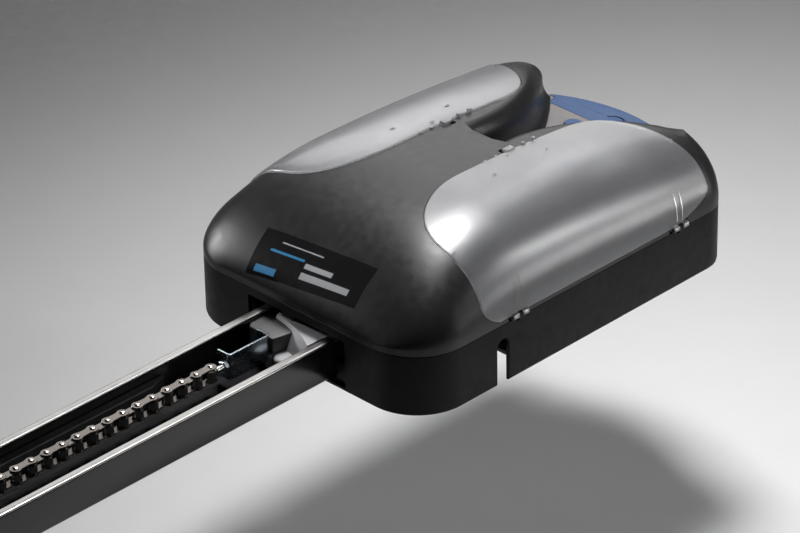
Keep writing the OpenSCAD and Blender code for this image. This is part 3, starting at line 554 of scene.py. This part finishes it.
# ---------- lamp lens outline: x along the rail against the distance s up the section ----------
LENS_LOW, LENS_HIGH = -0.5, 114.0       # s of the hinged edge and of the inner edge
LENS_FRONT, LENS_REAR = 61, 280         # x of the front and rear edge, from the head's front face


def corner(depth, reach, along, across, from_end):
    """How far a round corner pulls a lens edge in, at a distance from the edge's end."""
    u = np.clip(1 - from_end / reach, 0, 1)
    return depth * (1 - (1 - u ** along) ** (1 / across))


def lens_front(s):
    return LENS_FRONT + corner(15, 18, 2, 1.5, s - LENS_LOW) + corner(61, 50, 2.5, 2, LENS_HIGH - s)


def lens_rear(s):
    return LENS_REAR - corner(34, 20, 2, 1, s - LENS_LOW) - corner(65, 75, 1.5, 3.5, LENS_HIGH - s)


def lens_patch(name, grow, out, depth, columns=40, rows=56, low=LENS_LOW, rim=0.0):
    """Closed sheet that follows the cover, inside the lens outline grown by grow."""
    s_low, s_high = low - max(grow, 0), LENS_HIGH + grow
    ts = (1 - np.cos(np.linspace(0, math.pi, rows))) / 2
    us = (1 - np.cos(np.linspace(0, math.pi, columns))) / 2

    def sheet(d, shrink):
        rings = []
        for t in ts:
            key = LENS_LOW + (LENS_HIGH - LENS_LOW) * t
            a = X0 + lens_front(key) - grow + shrink
            b = X0 + lens_rear(key) + grow - shrink
            ring = []
            for u in us:
                x = a + (b - a) * u
                ring.append(skin_point(x, s_low + shrink + (s_high - s_low - 2 * shrink) * t, -1, d))
            rings.append(ring)
        return rings

    layers = [sheet(out, rim), sheet(depth, 0.0)]
    if rim:
        layers.insert(1, sheet(out + rim, 0.0))
    verts = [p for layer in layers for ring in layer for p in ring]
    size = rows * columns
    faces = grid_faces(rows, columns)
    faces += [f[::-1] for f in grid_faces(rows, columns, (len(layers) - 1) * size)]
    border = list(range(columns)) + [r * columns + columns - 1 for r in range(1, rows)]
    border += [(rows - 1) * columns + c for c in range(columns - 2, -1, -1)] + [r * columns for r in range(rows - 2, 0, -1)]
    for k in range(len(layers) - 1):
        for i, a in enumerate(border):
            b = border[(i + 1) % len(border)]
            faces.append([k * size + a, (k + 1) * size + a, (k + 1) * size + b, k * size + b])
    return solid(name, verts, faces, second=2 * (rows - 1) * (columns - 1))


def head_outline(d=0.0):
    """Plan of the head: rounded front corners, small rear corners and the rear bulge."""
    w, front, rear, bulge = HALF - d, FRONT_R - d, REAR_R - d, BULGE_R - d
    cx = BULGE_X - BULGE_R
    reach = math.sqrt(bulge ** 2 - (X1 - d - cx) ** 2)
    span = math.degrees(math.asin(reach / bulge))
    right = arc(X0 + d + front, -w + front, front, 180, 270, 20) + arc(X1 - d - rear, -w + rear, rear, -90, 0, 8)
    rear_arc = arc(cx, 0, bulge, -span, span, 40)
    left = [(x, -y) for x, y in right[::-1]]
    return right + rear_arc + left


# ---------- head pieces ----------
KNUCKLES = [X0 + 92.7, X0 + 248.5]
HINGE_Y, HINGE_Z = HALF + 1.2, BASE_H + 2.7


def make_base():
    """Base housing: one wall all round with rounded edges and a shadow groove under the cover."""
    top = BASE_H - GAP
    loop = [(2.0, 0), (1.0, 0.35), (0.3, 1.1), (0, 2.4), (0, top - 0.5), (0.5, top), (WALL, top), (WALL, 0)]
    base = loft("base_shell", [[(x, y, z) for x, y in head_outline(d)] for d, z in loop], closed=True)
    cuts = [block("mouth", (X0 - 5, -45, 3), (X0 + 13.7, 45, 38), 1)]
    notch_x, notch_half, notch_top = X0 + 78.5, 5.7, 34
    for side in (-1, 1):
        outline = [(notch_x - notch_half, -4), (notch_x + notch_half, -4)]
        outline += arc(notch_x, notch_top - notch_half, notch_half, 0, 180, 14)
        rings = [[(x, side * y, z) for x, z in outline] for y in (HALF - 12, HALF + 4)]
        cuts.append(loft("notch", rings))
    inlet_low, inlet_high = node_box("power_inlet")
    cuts.append(block("inlet", (inlet_low[0] + 2.7, HALF - 5, 8.7), (inlet_high[0] - 2.7, HALF + 5, 29.3), 1))
    boolean(base, cuts)
    ears = [base, block("tab", (X0 + 0.4, 2, 34.6), (X0 + 2.6, 13.5, 39), 0.4)]
    for y in (-51, 34.4):
        ears.append(block("cheek", (X0 + 2.5, y, 1), (X0 + 60, y + 16.6, 19), 0.4))
    ears.append(block("sill", (X0 + 2.5, -50, 1), (X0 + 60, 50, 5.6), 0.4))
    for side in (-1, 1):
        for x in KNUCKLES:
            outline = [(side * (HALF - 0.5), BASE_H - 3), (side * (HINGE_Y + 1.2), BASE_H - 1)]
            outline += arc(side * HINGE_Y, HINGE_Z, 2.2, 0 if side > 0 else 180, 90, 6)
            outline += [(side * (HALF - 0.5), HINGE_Z + 1.5)]
            ears.append(loft("ear", [[(px, y, z) for y, z in outline] for px in (x - 1.6, x + 1.6)]))
    dress(joined("base_shell", ears), SHELL_BASE_SHADED, "head", ["base_housing"])


def make_cover():
    """Face cover: the smooth dome with the scoop, the sunk ledges and the lamp windows."""
    cover = dome("cover_shell", 0, BASE_H)
    boolean(cover, [scoop_cutter("scoop")])
    inner = dome("cover_inside", WALL, BASE_H - 5)
    boolean(inner, [scoop_cutter("scoop_grown", 2.6)])
    cuts = [inner]
    for side in (1, -1):
        for name, grow, out, depth in (("ledge", 0.55, -9, 1.15), ("window", -8, -9, 12)):
            cutter = lens_patch(name, grow, out, depth)
            if side < 0:
                other = mirrored(cutter, name)
                bpy.data.objects.remove(cutter)
                cutter = other
            cuts.append(cutter)
        for x in KNUCKLES:
            ys = sorted((side * (HALF + 4), side * (HALF - 2.4)))
            cuts.append(block("knuckle_gap", (x - 9, ys[0], BASE_H - 3), (x + 9, ys[1], BASE_H + 6), 0.4))
        ys = sorted((side * 24, side * 36))
        cuts.append(block("latch_pocket", (X0 + 165.4, ys[0], CROWN - 14), (X0 + 176.6, ys[1], CROWN + 3), 0.8))
    boolean(cover, cuts)
    dress(cover, SHELL, "head", ["face_cover"])


def make_lens(side, body, node):
    """Lens with its edge faces painted near-white as a highlight, hinge knuckles, rib pairs, studs and a latch tongue.
    """
    lens = lens_patch("lens", 0, -1.2, 0.8, 64, 80, rim=0.4)
    parts = [lens]
    for x in KNUCKLES:
        for off in (-4.5, 4.5):
            tube = [(1.05, -2.5), (2.2, -2.5), (2.4, -2.3), (2.4, 2.3), (2.2, 2.5), (1.05, 2.5)]
            ring = loft("knuckle", [turned_ring(r, (x + off + h, -HINGE_Y, HINGE_Z)) for r, h in tube], closed=True)
            parts.append(ring)
            parts.append(block("web", (x + off - 2.3, -HALF - 1.1, HINGE_Z + 1), (x + off + 2.3, -HALF + 0.6, SPRING + 1), 0.2))
            rib = []
            for s in np.linspace(3, 27, 14):
                lift = 0.5 * math.sin(math.pi * (s - 3) / 24) ** 0.5
                cx = x + off * 0.6 + 0.05 * (s - 3)
                across = ((-0.5, 0), (-0.25, 1), (0.25, 1), (0.5, 0))
                rib.append([skin_point(cx + w, s, -1, -1.1 - lift * h) for w, h in across])
            parts.append(loft("rib", rib))
    for x, s in ((63.7, 59.7), (274, 62.4), (138.3, 96.6), (189, 98.3), (163.3, 109.5)):
        px, py, pz = skin_point(X0 + x, s, -1, -1.2)
        nx, ny, nz = Vector(skin_point(X0 + x, s, -1, -2.2)) - Vector((px, py, pz))
        profile = [(2.0, -0.3), (2.0, 0.15), (1.7, 0.35), (1.1, 0.4), (1.0, 0.2), (0, 0.2)]
        parts.append(turned("stud", profile, (px, py, pz), (nx, ny, nz), 20))
    latch_x = X0 + 171
    parts.append(block("tongue", (latch_x - 4, -31.5, CROWN - 10), (latch_x + 4, -29.5, CROWN + 0.5), 0.4))
    parts.append(block("catch", (latch_x - 4, -31, CROWN - 1), (latch_x + 4, -26.5, CROWN + 0.8), 0.3))
    for off in (-23, -13, 13, 23):
        parts.append(block("tooth", (latch_x + off - 1.4, -31, CROWN - 3), (latch_x + off + 1.4, -28.6, CROWN + 0.3), 0.2))
    lens = on_side(joined("lens_" + body.split("_")[1], parts), side)
    dress(lens, [LENS, LENS_EDGE_PALE_AND_HIGHLIGHT], body, [node])


def turned_ring(r, centre, segments=20):
    """Circle of points around the X direction."""
    cx, cy, cz = centre
    return [(cx, cy + r * math.cos(t), cz + r * math.sin(t)) for t in np.linspace(0, 2 * math.pi, segments, endpoint=False)]


def make_tray(side, node):
    """Reflector tray: a thin pan that follows the cover under the lens, open at the latch."""
    pan = lens_patch("tray_" + node.split("_")[-1], -LEDGE, WALL + 0.4, BAY + 1.5, 48, 60, low=4.5)
    hollow = lens_patch("hollow", -LEDGE - 1.5, -1, BAY, 48, 60, low=4.5)
    boolean(pan, [hollow, block("latch_room", (X0 + 163, -45, CROWN - 16), (X0 + 179, -28, CROWN + 3))])
    dress(on_side(pan, side), TRAY, "head", [node])


make_base()
make_cover()
make_tray(-1, "lamp_tray_right")
make_tray(1, "lamp_tray_left")
make_lens(-1, "lens_right", "lamp_lens_right")
make_lens(1, "lens_left", "lamp_lens_left")


# ---------- rear deck, flap and button ----------
FLAP_X = X1 - 6
FLAP_HALF = 58
BUTTON_X, BUTTON_HALF, BUTTON_R = 140, 18, 6


def bulge_outline(d=0.0, start=X1 - 24):
    """The rounded rear end from x start on, counter-clockwise."""
    r = BULGE_R - d
    cx = BULGE_X - BULGE_R
    span = math.degrees(math.asin(min(66.3 - d, r - 1) / r))
    rear = arc(cx, 0, r, -span, span, 40)
    return rear + [(start, 66.3 - d), (start, d - 66.3)]


def deck_outline(d=0.0):
    """Scoop floor and bulge in one."""
    xs = np.linspace(X1 - 1, SCOOP_X + 40, 24)
    left = [(x, scoop_half(x) - 7 - d) for x in xs]
    cx = BULGE_X - BULGE_R
    r = BULGE_R - d
    span = math.degrees(math.asin((left[0][1] + 5) / r))
    return arc(cx, 0, r, -span, span, 40) + left + [(x, -y) for x, y in left[::-1]]


def flap_zone(grow):
    """Area of the flap, with its stepped front corners."""
    half, x = FLAP_HALF + grow, FLAP_X - grow
    left = [(x + 8, half), (x + 8, half - 5), (x, half - 5)]
    return [(BULGE_X + 5, -half)] + [(BULGE_X + 5, half)] + left + [(a, -b) for a, b in left[::-1]]


def button_outline(grow=0.0):
    r = BUTTON_R + grow
    return arc(BUTTON_X, BUTTON_HALF, r, 0, 180, 14) + arc(BUTTON_X, -BUTTON_HALF, r, 180, 360, 14)


def straight(name, outline, low, high):
    return loft(name, [[(x, y, low) for x, y in outline], [(x, y, high) for x, y in outline]])


def finger_slit():
    outer, inner = arc(FLAP_X + 8, 0, 9.4, -62, 62, 16), arc(FLAP_X + 8, 0, 8.2, 62, -62, 16)
    return straight("slit", outer + inner, DECK_Z - 6, DECK_Z + 3)


def make_deck():
    deck = prism("deck", deck_outline(), DECK_Z - WALL, DECK_Z, 0.9)
    skirt = prism("skirt", bulge_outline(), BASE_H, DECK_Z - 0.3, 0.6)
    boolean(skirt, [straight("hollow", bulge_outline(WALL, X1 - 40), BASE_H - 3, DECK_Z - 0.6),
                    block("front", (X0, -HALF, 0), (X1 + 0.4, HALF, 90), 0.2)])
    boolean(deck, [skirt], "UNION")
    boolean(deck, [straight("flap_gap", flap_zone(0.45), BASE_H + 5.2, 90),
                   straight("button_gap", button_outline(0.5), DECK_Z - 10, 90)])
    dress(bevelled(deck, 0.3), DECK, "head", ["rear_panel"])

    flap = prism("flap", bulge_outline(), BASE_H + 5.6, DECK_Z, 0.9)
    boolean(flap, [straight("hollow", bulge_outline(2.4, X1 - 40), BASE_H - 3, DECK_Z - 2.4), finger_slit()])
    boolean(flap, [straight("zone", flap_zone(0), BASE_H, 90)], "INTERSECT")
    dress(bevelled(flap, 0.25), BLUE, "flap", ["service_flap"])

    button = prism("button", button_outline(), DECK_Z - 5.5, DECK_Z + 1, 0.8)
    stem = turned("stem", [(3, 0), (3, 19)], (HEAD_HIGH[0] - 41, 0, DECK_Z - 24.5), (0, 0, 1), 24)
    dress(joined("button_cap", [button, stem]), BLUE, "button", ["push_button"])


# ---------- label on the nose: plain bars, no lettering ----------
def decal(name, x_low, x_high, y_low, y_high, out, skew=0.06):
    """A thin patch that lies on the cover."""
    rows = []
    for layer in (out, -0.4):
        for x in np.linspace(x_low, x_high, 12):
            for y in np.linspace(y_low, y_high, 20):
                px = x - skew * y
                rows.append((px, y, skin_z(px, y, -layer)))
    size = 12 * 20
    faces = grid_faces(12, 20) + [f[::-1] for f in grid_faces(12, 20, size)]
    border = list(range(20)) + [r * 20 + 19 for r in range(1, 12)] + [11 * 20 + c for c in range(18, -1, -1)]
    border += [r * 20 for r in range(10, 0, -1)]
    for i, a in enumerate(border):
        b = border[(i + 1) % len(border)]
        faces.append([a, size + a, size + b, b])
    return solid(name, rows, faces)


def make_label():
    x = X0
    dress(decal("label", x + 4.0, x + 26, -48, 48, 0.12), plastic("label_black", (0.010, 0.010, 0.011), 0.2, vary=0.05), "head")
    light = plastic("label_grey", (0.42, 0.43, 0.45), 0.4, vary=0.03)
    bars = [decal("bar", x + 7.5, x + 10.5, -38, 4, 0.2), decal("bar", x + 12.5, x + 15, -20, 4, 0.2),
            decal("bar", x + 20.5, x + 21.2, -6, 30, 0.2)]
    dress(joined("label_bars", bars), light, "head")
    blue = plastic("label_blue", (0.02, 0.24, 0.5), 0.35, vary=0.03)
    marks = [decal("mark", x + 5.2, x + 8, 24, 42, 0.2), decal("mark", x + 15.2, x + 16.4, 6, 36, 0.2)]
    dress(joined("label_marks", marks), blue, "head")


# ---------- rail ----------
RAIL_T, LIP_W = 1.5, 7


def rail_ring(x):
    """Cross-section of the folded strip, with rounded bends."""
    def bend(cy, cz, r, a, b, steps=5):
        return [(cy + r * math.cos(math.radians(t)), cz + r * math.sin(math.radians(t))) for t in np.linspace(a, b, steps)]
    w, z, top, t = RAIL_HALF, RAIL_Z, RAIL_TOP, RAIL_T
    half = [(0, z)] + bend(w - 2, z + 2, 2, -90, 0) + bend(w - 2, top - 2, 2, 0, 90, 7)
    lip = w - LIP_W
    half += bend(lip + 1.2, top - 1.2, 1.2, 90, 180) + [(lip, top - 3), (lip + t * 0.5, top - 3.3), (lip + t, top - 3)]
    half += bend(lip + t + 0.5, top - t - 0.5, 0.5, 180, 90, 3) + bend(w - t - 0.5, top - t - 0.5, 0.5, 90, 0, 3)
    half += bend(w - t - 0.5, z + t + 0.5, 0.5, 0, -90, 3) + [(0, z + t)]
    return [(x, y, zz) for y, zz in half] + [(x, -y, zz) for y, zz in half[-2:0:-1]]


def make_rail():
    for i in (1, 2, 3):
        low, high = node_box(f"rail_section_{i}")
        rings = [rail_ring(x) for x in np.linspace(low[0], high[0], 12)]
        rail = loft(f"rail_{i}", rings, angle=60)
        for face in rail.data.polygons:
            if face.normal.z > 0.55 and face.center.z > (RAIL_TOP - 2.2) * MM:
                face.material_index = 1
        dress(rail, [RAIL, LIP], "head", [f"rail_section_{i}"])
    for i in (1, 2):
        low, high = node_box(f"rail_joiner_{i}")
        w, z, top = high[1], low[2], high[2]
        t = 1.5
        outline = [(-w, top), (-w, z + 2)] + arc(-w + 2, z + 2, 2, 180, 270, 5) + arc(w - 2, z + 2, 2, 270, 360, 5)
        outline += [(w, top), (w - t, top), (w - t, z + 2.2)] + arc(w - 2.2, z + 2.2, 0.7, 0, -90, 3)
        outline += arc(-w + 2.2, z + 2.2, 0.7, -90, -180, 3) + [(-w + t, top)]
        rings = []
        for x in (low[0], low[0] + 0.5, high[0] - 0.5, high[0]):
            lift = 0.3 if x in (low[0], high[0]) else 0
            rings.append([(x, y * (1 - lift / w), zz + (lift if zz < top - 1 else -lift)) for y, zz in outline])
        joiner = loft(f"joiner_{i}", rings)
        parts = [joiner]
        for dx in (-45, -15, 15, 45):
            for side in (-1, 1):
                cx = (low[0] + high[0]) / 2 + dx
                at = (cx, side * (w - 0.1), (z + top) / 2)
                parts.append(turned("dimple", [(3.2, -0.2), (2.8, 0.5), (1.5, 0.7), (0, 0.7)], at, (0, side, 0), 20))
        dress(joined(f"joiner_{i}", parts), RAIL, "head", [f"rail_joiner_{i}"])

    low, high = node_box("guide_strip")
    outline = [(low[0], low[1]), (high[0] - 14, low[1]), (high[0], low[1] + 4.5), (high[0], high[1]), (low[0], high[1])]
    dress(prism("guide", outline, low[2], high[2], 0.8), STRIP, "head", ["guide_strip"])


# ---------- chain ----------
def link_outline(r=4.1, waist=2.9, steps=7):
    """Figure-of-eight side plate, centred between its two pins."""
    half = PITCH / 2
    right = arc(half, 0, r, -125, 125, steps + 3)
    dip = [(x, waist + (r - waist) * (abs(x) / half) ** 3 * 0.6) for x in np.linspace(half * 0.45, -half * 0.45, 3)]
    left = arc(-half, 0, r, 55, 305, steps + 3)
    return right + dip + left + [(-x, -y) for x, y in dip]


def mesh_parts(obj):
    """Vertices in millimetres and faces of a finished object, which is removed."""
    verts = np.array([v.co[:] for v in obj.data.vertices]) / MM
    faces = [list(p.vertices) for p in obj.data.polygons]
    bpy.data.objects.remove(obj)
    return verts, faces


def repeated(name, pattern, offsets):
    """One mesh with the pattern's parts at each offset along X; each part carries a material number."""
    verts, faces, index, base = [], [], [], 0
    for dx in offsets:
        for pv, pf, m in pattern:
            verts.append(pv + np.array([dx, 0, 0]))
            faces += [[base + v for v in f] for f in pf]
            index += [m] * len(pf)
            base += len(pv)
    mesh = bpy.data.meshes.new(name)
    mesh.from_pydata((np.concatenate(verts) * MM).tolist(), [], faces)
    mesh.polygons.foreach_set("material_index", index)
    sharpen(mesh, 40)
    return link(bpy.data.objects.new(name, mesh))


def make_chain():
    pattern = []
    outline = link_outline()
    for dx, gaps in ((0, (4.25, 5.4)), (-PITCH, (2.95, 4.15))):
        for side in (-1, 1):
            z = sorted((CHAIN_Z + side * gaps[0], CHAIN_Z + side * gaps[1]))
            rings = []
            for d, h in ((0.25, z[0]), (0, z[0] + 0.25), (0, z[1] - 0.25), (0.25, z[1])):
                rings.append([(x + dx - PITCH / 2, y + CHAIN_Y, h) for x, y in inset(outline, d)])
            pattern.append((*mesh_parts(loft("plate", rings)), 0))
    for k in (0, 1):
        x = -k * PITCH
        barrel = [(3.4, -2.8), (3.875, -2.4), (3.875, 2.4), (3.4, 2.8)]
        pattern.append((*mesh_parts(turned("roller", barrel, (x, CHAIN_Y, CHAIN_Z), (0, 0, 1), 18)), 1))
        for side in (-1, 1):
            head = [(1.9, 5.2), (1.9, 5.85), (1.5, 6.1), (0, 6.1)]
            pattern.append((*mesh_parts(turned("pin", head, (x, CHAIN_Y, CHAIN_Z), (0, 0, side), 12)), 1))
    start = CHAIN_HIGH[0] - 4.2
    count = int((start - CHAIN_LOW[0] - 4) / (2 * PITCH))
    chain = repeated("chain_links", pattern, [start - 2 * PITCH * k for k in range(count)])
    dress(chain, [PLATE_TONE_AND_REFLECTION, NICKEL], "head", ["chain"])


# ---------- bracket and insert at the mouth ----------
def make_bracket():
    low, high = node_box("chain_bracket")
    t, r = 1.6, 3.0
    x0, x1, y0, y1 = low[0], high[0], low[1] + 2.2, high[1] + 2.6
    outer = [(x0, y1)] + arc(x0 + r, y0 + r, r, 180, 270, 8) + arc(x1 - r, y0 + r, r, 270, 360, 8) + [(x1, y1)]
    inner = [(x1 - t, y1)] + arc(x1 - r, y0 + r, r - t, 0, -90, 8)
    inner += arc(x0 + r, y0 + r, r - t, 270, 180, 8) + [(x0 + t, y1)]
    plate = prism("bracket", outer + inner, low[2], high[2] + 2, 0.3)
    hexagon = [(4.2, 0), (4.2, 2.6), (3.6, 3.1), (0, 3.1)]
    nut = turned("nut", hexagon, (x0 - 0.2, CHAIN_Y + 0.6, CHAIN_Z), (-1, 0, 0), 6)
    dress(joined("bracket", [plate, nut]), ZINC, "head", ["chain_bracket"])


def make_insert():
    low, high = node_box("head_insert")
    bed = [(X0 + 1, -29), (RAIL_X - 4, -29), (RAIL_X - 4, 29), (X0 + 1, 29)]
    parts = [prism("bed", bed, low[2], low[2] + 8.5, 0.6)]
    outline = [(-168, 0)] + arc(-162, -6, 7, 120, 250, 10) + [(-152, -14), (X0 + 6, -14), (X0 + 6, 6), (-168, 6)]
    parts.append(prism("foot", outline, low[2], 19, 2.2))
    body = joined("insert_foot", parts)
    dress(body, INSERT_LIGHT, "head")
    top = [(-165, 1), (-147, -3), (X0 + 3, -3), (X0 + 3, 29), (-158, 29), (-164, 24)]
    # the block takes the dark copy of the insert plastic, a painted shade
    dress(prism("insert_block", top, low[2], 30.4, 1.0), INSERT_SHADED, "head", ["head_insert"])

    edge_top = [(X0 + 0.5 - 0.2 * k - 0.10 * k * k, 18 - 3.9 * k) for k in range(12)]
    rings = []
    for level in range(8):
        t = level / 7
        z = 33.2 - 22 * t
        pull = 9 * math.sin(t * math.pi * 0.5)
        ring = [(x - pull * (1 - abs(i - 5.5) / 9), y + pull * 0.25, z) for i, (x, y) in enumerate(edge_top)]
        ring += [(X0 + 3.2, -25.5, z), (X0 + 3.2, 18.5, z)]
        rings.append(ring)
    dress(loft("insert_ramp", rings, angle=50), INSERT_LIGHT, "head")


# ---------- carriage cover ----------
def rounded_box(name, low, high, r, top_r, steps=7):
    """Box with round upright corners and a round upper edge."""
    (ax, ay, az), (bx, by, bz) = low, high
    rings = []
    edge = [(top_r * (1 - math.cos(a)), bz - top_r * (1 - math.sin(a))) for a in np.linspace(0, math.pi / 2, steps)]
    for d, z in [(0, az)] + edge:
        q = max(r - d, 0.4)
        ring = arc(bx - d - q, ay + d + q, q, -90, 0, 9) + arc(bx - d - q, by - d - q, q, 0, 90, 9)
        ring += arc(ax + d + q, by - d - q, q, 90, 180, 9) + arc(ax + d + q, ay + d + q, q, 180, 270, 9)
        rings.append([(x, y, z) for x, y in ring])
    return loft(name, rings)


def make_carriage():
    low, high = node_box("carriage_cover")
    cx = (low[0] + high[0]) / 2
    w, top = high[1], node_box("gearbox_upper")[1][2] + 21
    shell = rounded_box("carriage_shell", (low[0], -w, low[2]), (high[0], w, top), 16, 14)
    wall = 2.6
    cuts = [rounded_box("inside", (low[0] + wall, -w + wall, low[2] - 9), (high[0] - wall, w - wall, top - wall),
                        16 - wall, 14 - wall)]
    lever_low, lever_high = node_box("release_lever")
    cuts.append(block("slot", (low[0] - 3, -13, lever_low[2] - 2), (low[0] + 6, 13, lever_high[2] + 14), 0.6))
    for side in (-1, 1):
        ys = sorted((side * (w - 8), side * (w + 4)))
        for k in range(9):
            x = cx + 40 + 9 * k
            cuts.append(block("vent", (x, ys[0], top - 42), (x + 4, ys[1], top - 20), 1.0))
        ys = sorted((side * (w - 0.9), side * (w + 3)))
        cuts.append(block("line", (low[0] - 2, ys[0], top - 52), (high[0] + 2, ys[1], top - 50.8), 0.2))
    boolean(shell, cuts)
    parts = [bevelled(shell, 0.3)]
    pin_low, pin_high = node_box("arm_pin")
    px, pz = (pin_low[0] + pin_high[0]) / 2, (pin_low[2] + pin_high[2]) / 2
    for side in (-1, 1):
        ys = sorted((side * 14, side * 20))
        outline = arc(px, pz, 9, 0, 180, 16) + [(px - 10, top - 4), (px + 10, top - 4)]
        edges = ((0.6, ys[0]), (0, ys[0] + 0.6), (0, ys[1] - 0.6), (0.6, ys[1]))
        ear = loft("ear", [[(x, y, z) for x, z in inset(outline, d)] for d, y in edges])
        boolean(ear, [turned("hole", [(4.05, -30), (4.05, 30)], (px, 0, pz), (0, 1, 0), 28)])
        parts.append(ear)
    for k in range(3):
        x = cx - 60 + 22 * k
        parts.append(block("rib", (x, -30, top - 0.6), (x + 8, 30, top + 1.0), 0.5))
    dress(joined("carriage_shell", parts), SHELL, "carriage", ["carriage_cover"])


make_deck()
make_label()
make_rail()
make_chain()
make_bracket()
make_insert()
make_carriage()


# ---------- CAD nodes that keep their shape ----------
KEPT = {
    TRAY: ["led_boards"],
    STEEL: ["flap_pin", "lens_pins", "cover_screws", "chain_link_pin", "tension_bolt", "tension_spring", "tension_nut",
            "yoke_bolts", "worm_shaft", "drive_shaft", "sprocket", "lever_pin", "arm_pin", "door_pin"],
    GREEN_BOARD: ["control_board", "radio_module"], RELAY: ["relays"], TERMINAL: ["terminal_block"],
    DARK: ["base_plate", "capacitors", "button_switch", "power_inlet", "door_insert", "carriage_chassis"],
    LAMINATION: ["transformer_core"], COPPER: ["transformer_coil", "contact_brushes"], BRASS: ["inlet_blades"],
    NYLON: ["gear_wheel"], LEVER: ["release_lever"],
    ZINC: ["rail_end_yoke", "lintel_bracket", "rail_saddle_1", "rail_saddle_2", "door_arm", "door_bracket"],
    CAST: ["gearbox_lower", "gearbox_upper"], MOTOR: ["motor_can"],
}
for mat, names in KEPT.items():
    for name in names:
        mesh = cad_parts[name].data
        mesh.materials.clear()
        mesh.materials.append(mat)


# ---------- stage ----------
FLOOR_Z = -165


def make_stage():
    size = 9000
    square = [(-size, -size), (size, -size), (size, size), (-size, size)]
    floor = solid("floor", [(x, y, z) for z in (FLOOR_Z, FLOOR_Z - 20) for x, y in square],
                  [[0, 1, 2, 3], [7, 6, 5, 4], [0, 4, 5, 1], [1, 5, 6, 2], [2, 6, 7, 3], [3, 7, 4, 0]])
    floor.data.materials.append(plastic("floor_pale", (0.72, 0.72, 0.72), 0.7, vary=0.01))


def softbox(name, at, aim, size, power, spread=180):
    """A rectangular light at a point in metres, aimed at another point; spread is in degrees."""
    data = bpy.data.lights.new(name, "AREA")
    data.shape, (data.size, data.size_y) = "RECTANGLE", size
    data.energy, data.spread = power, math.radians(spread)
    light = link(bpy.data.objects.new(name, data))
    light.location = at
    light.rotation_euler = (Vector(aim) - Vector(at)).to_track_quat("-Z", "Y").to_euler()
    return light


def make_lights():
    """A directed key from above, a softbox behind, two on the right for the lens, a small one on the left."""
    softbox("key", (0.30, 0.28, 1.3), (0.10, -0.20, -0.165), (0.42, 0.42), 3.7, 70)
    softbox("back", (1.9, 1.9, 1.35), (0, 0, 0.1), (2.2, 1.3), 18)
    softbox("strip", (1.35, -1.5, 1.0), (0.03, -0.03, 0.1), (0.24, 1.2), 0.4, 28)
    softbox("low", (1.15, -1.3, 0.14), (0.05, -0.1, 0.09), (0.5, 0.5), 0.11, 24)
    softbox("left", (-0.46, 0.88, 0.33), (-0.16, 0.10, 0.08), (0.32, 0.2), 0.15, 32)
    world = bpy.data.worlds.new("studio")
    world.use_nodes = True
    world.node_tree.nodes["Background"].inputs["Color"].default_value = (0.012, 0.012, 0.013, 1)
    bpy.context.scene.world = world
    bpy.context.scene.view_settings.view_transform = "Standard"


def make_camera():
    """Long lens from the front right and above, a little rolled."""
    azimuth, elevation, roll = (math.radians(v) for v in (-44.668, 30.212, -1.049))
    level = math.cos(elevation)
    back = Vector((math.sin(azimuth) * level, -math.cos(azimuth) * level, math.sin(elevation)))
    right = Vector((math.cos(azimuth), math.sin(azimuth), 0))
    up = back.cross(right)
    tilted_right = right * math.cos(roll) + up * math.sin(roll)
    tilted_up = up * math.cos(roll) - right * math.sin(roll)
    data = bpy.data.cameras.new("camera")
    data.sensor_width, data.lens = 36, 188.9
    data.clip_start, data.clip_end = 0.05, 60
    camera = link(bpy.data.objects.new("camera", data))
    turn = Matrix((tilted_right, tilted_up, back)).transposed().to_4x4()
    camera.matrix_world = Matrix.Translation((-1.7445, -1.71575, 1.4406)) @ turn
    bpy.context.scene.camera = camera


make_stage()
make_lights()
make_camera()
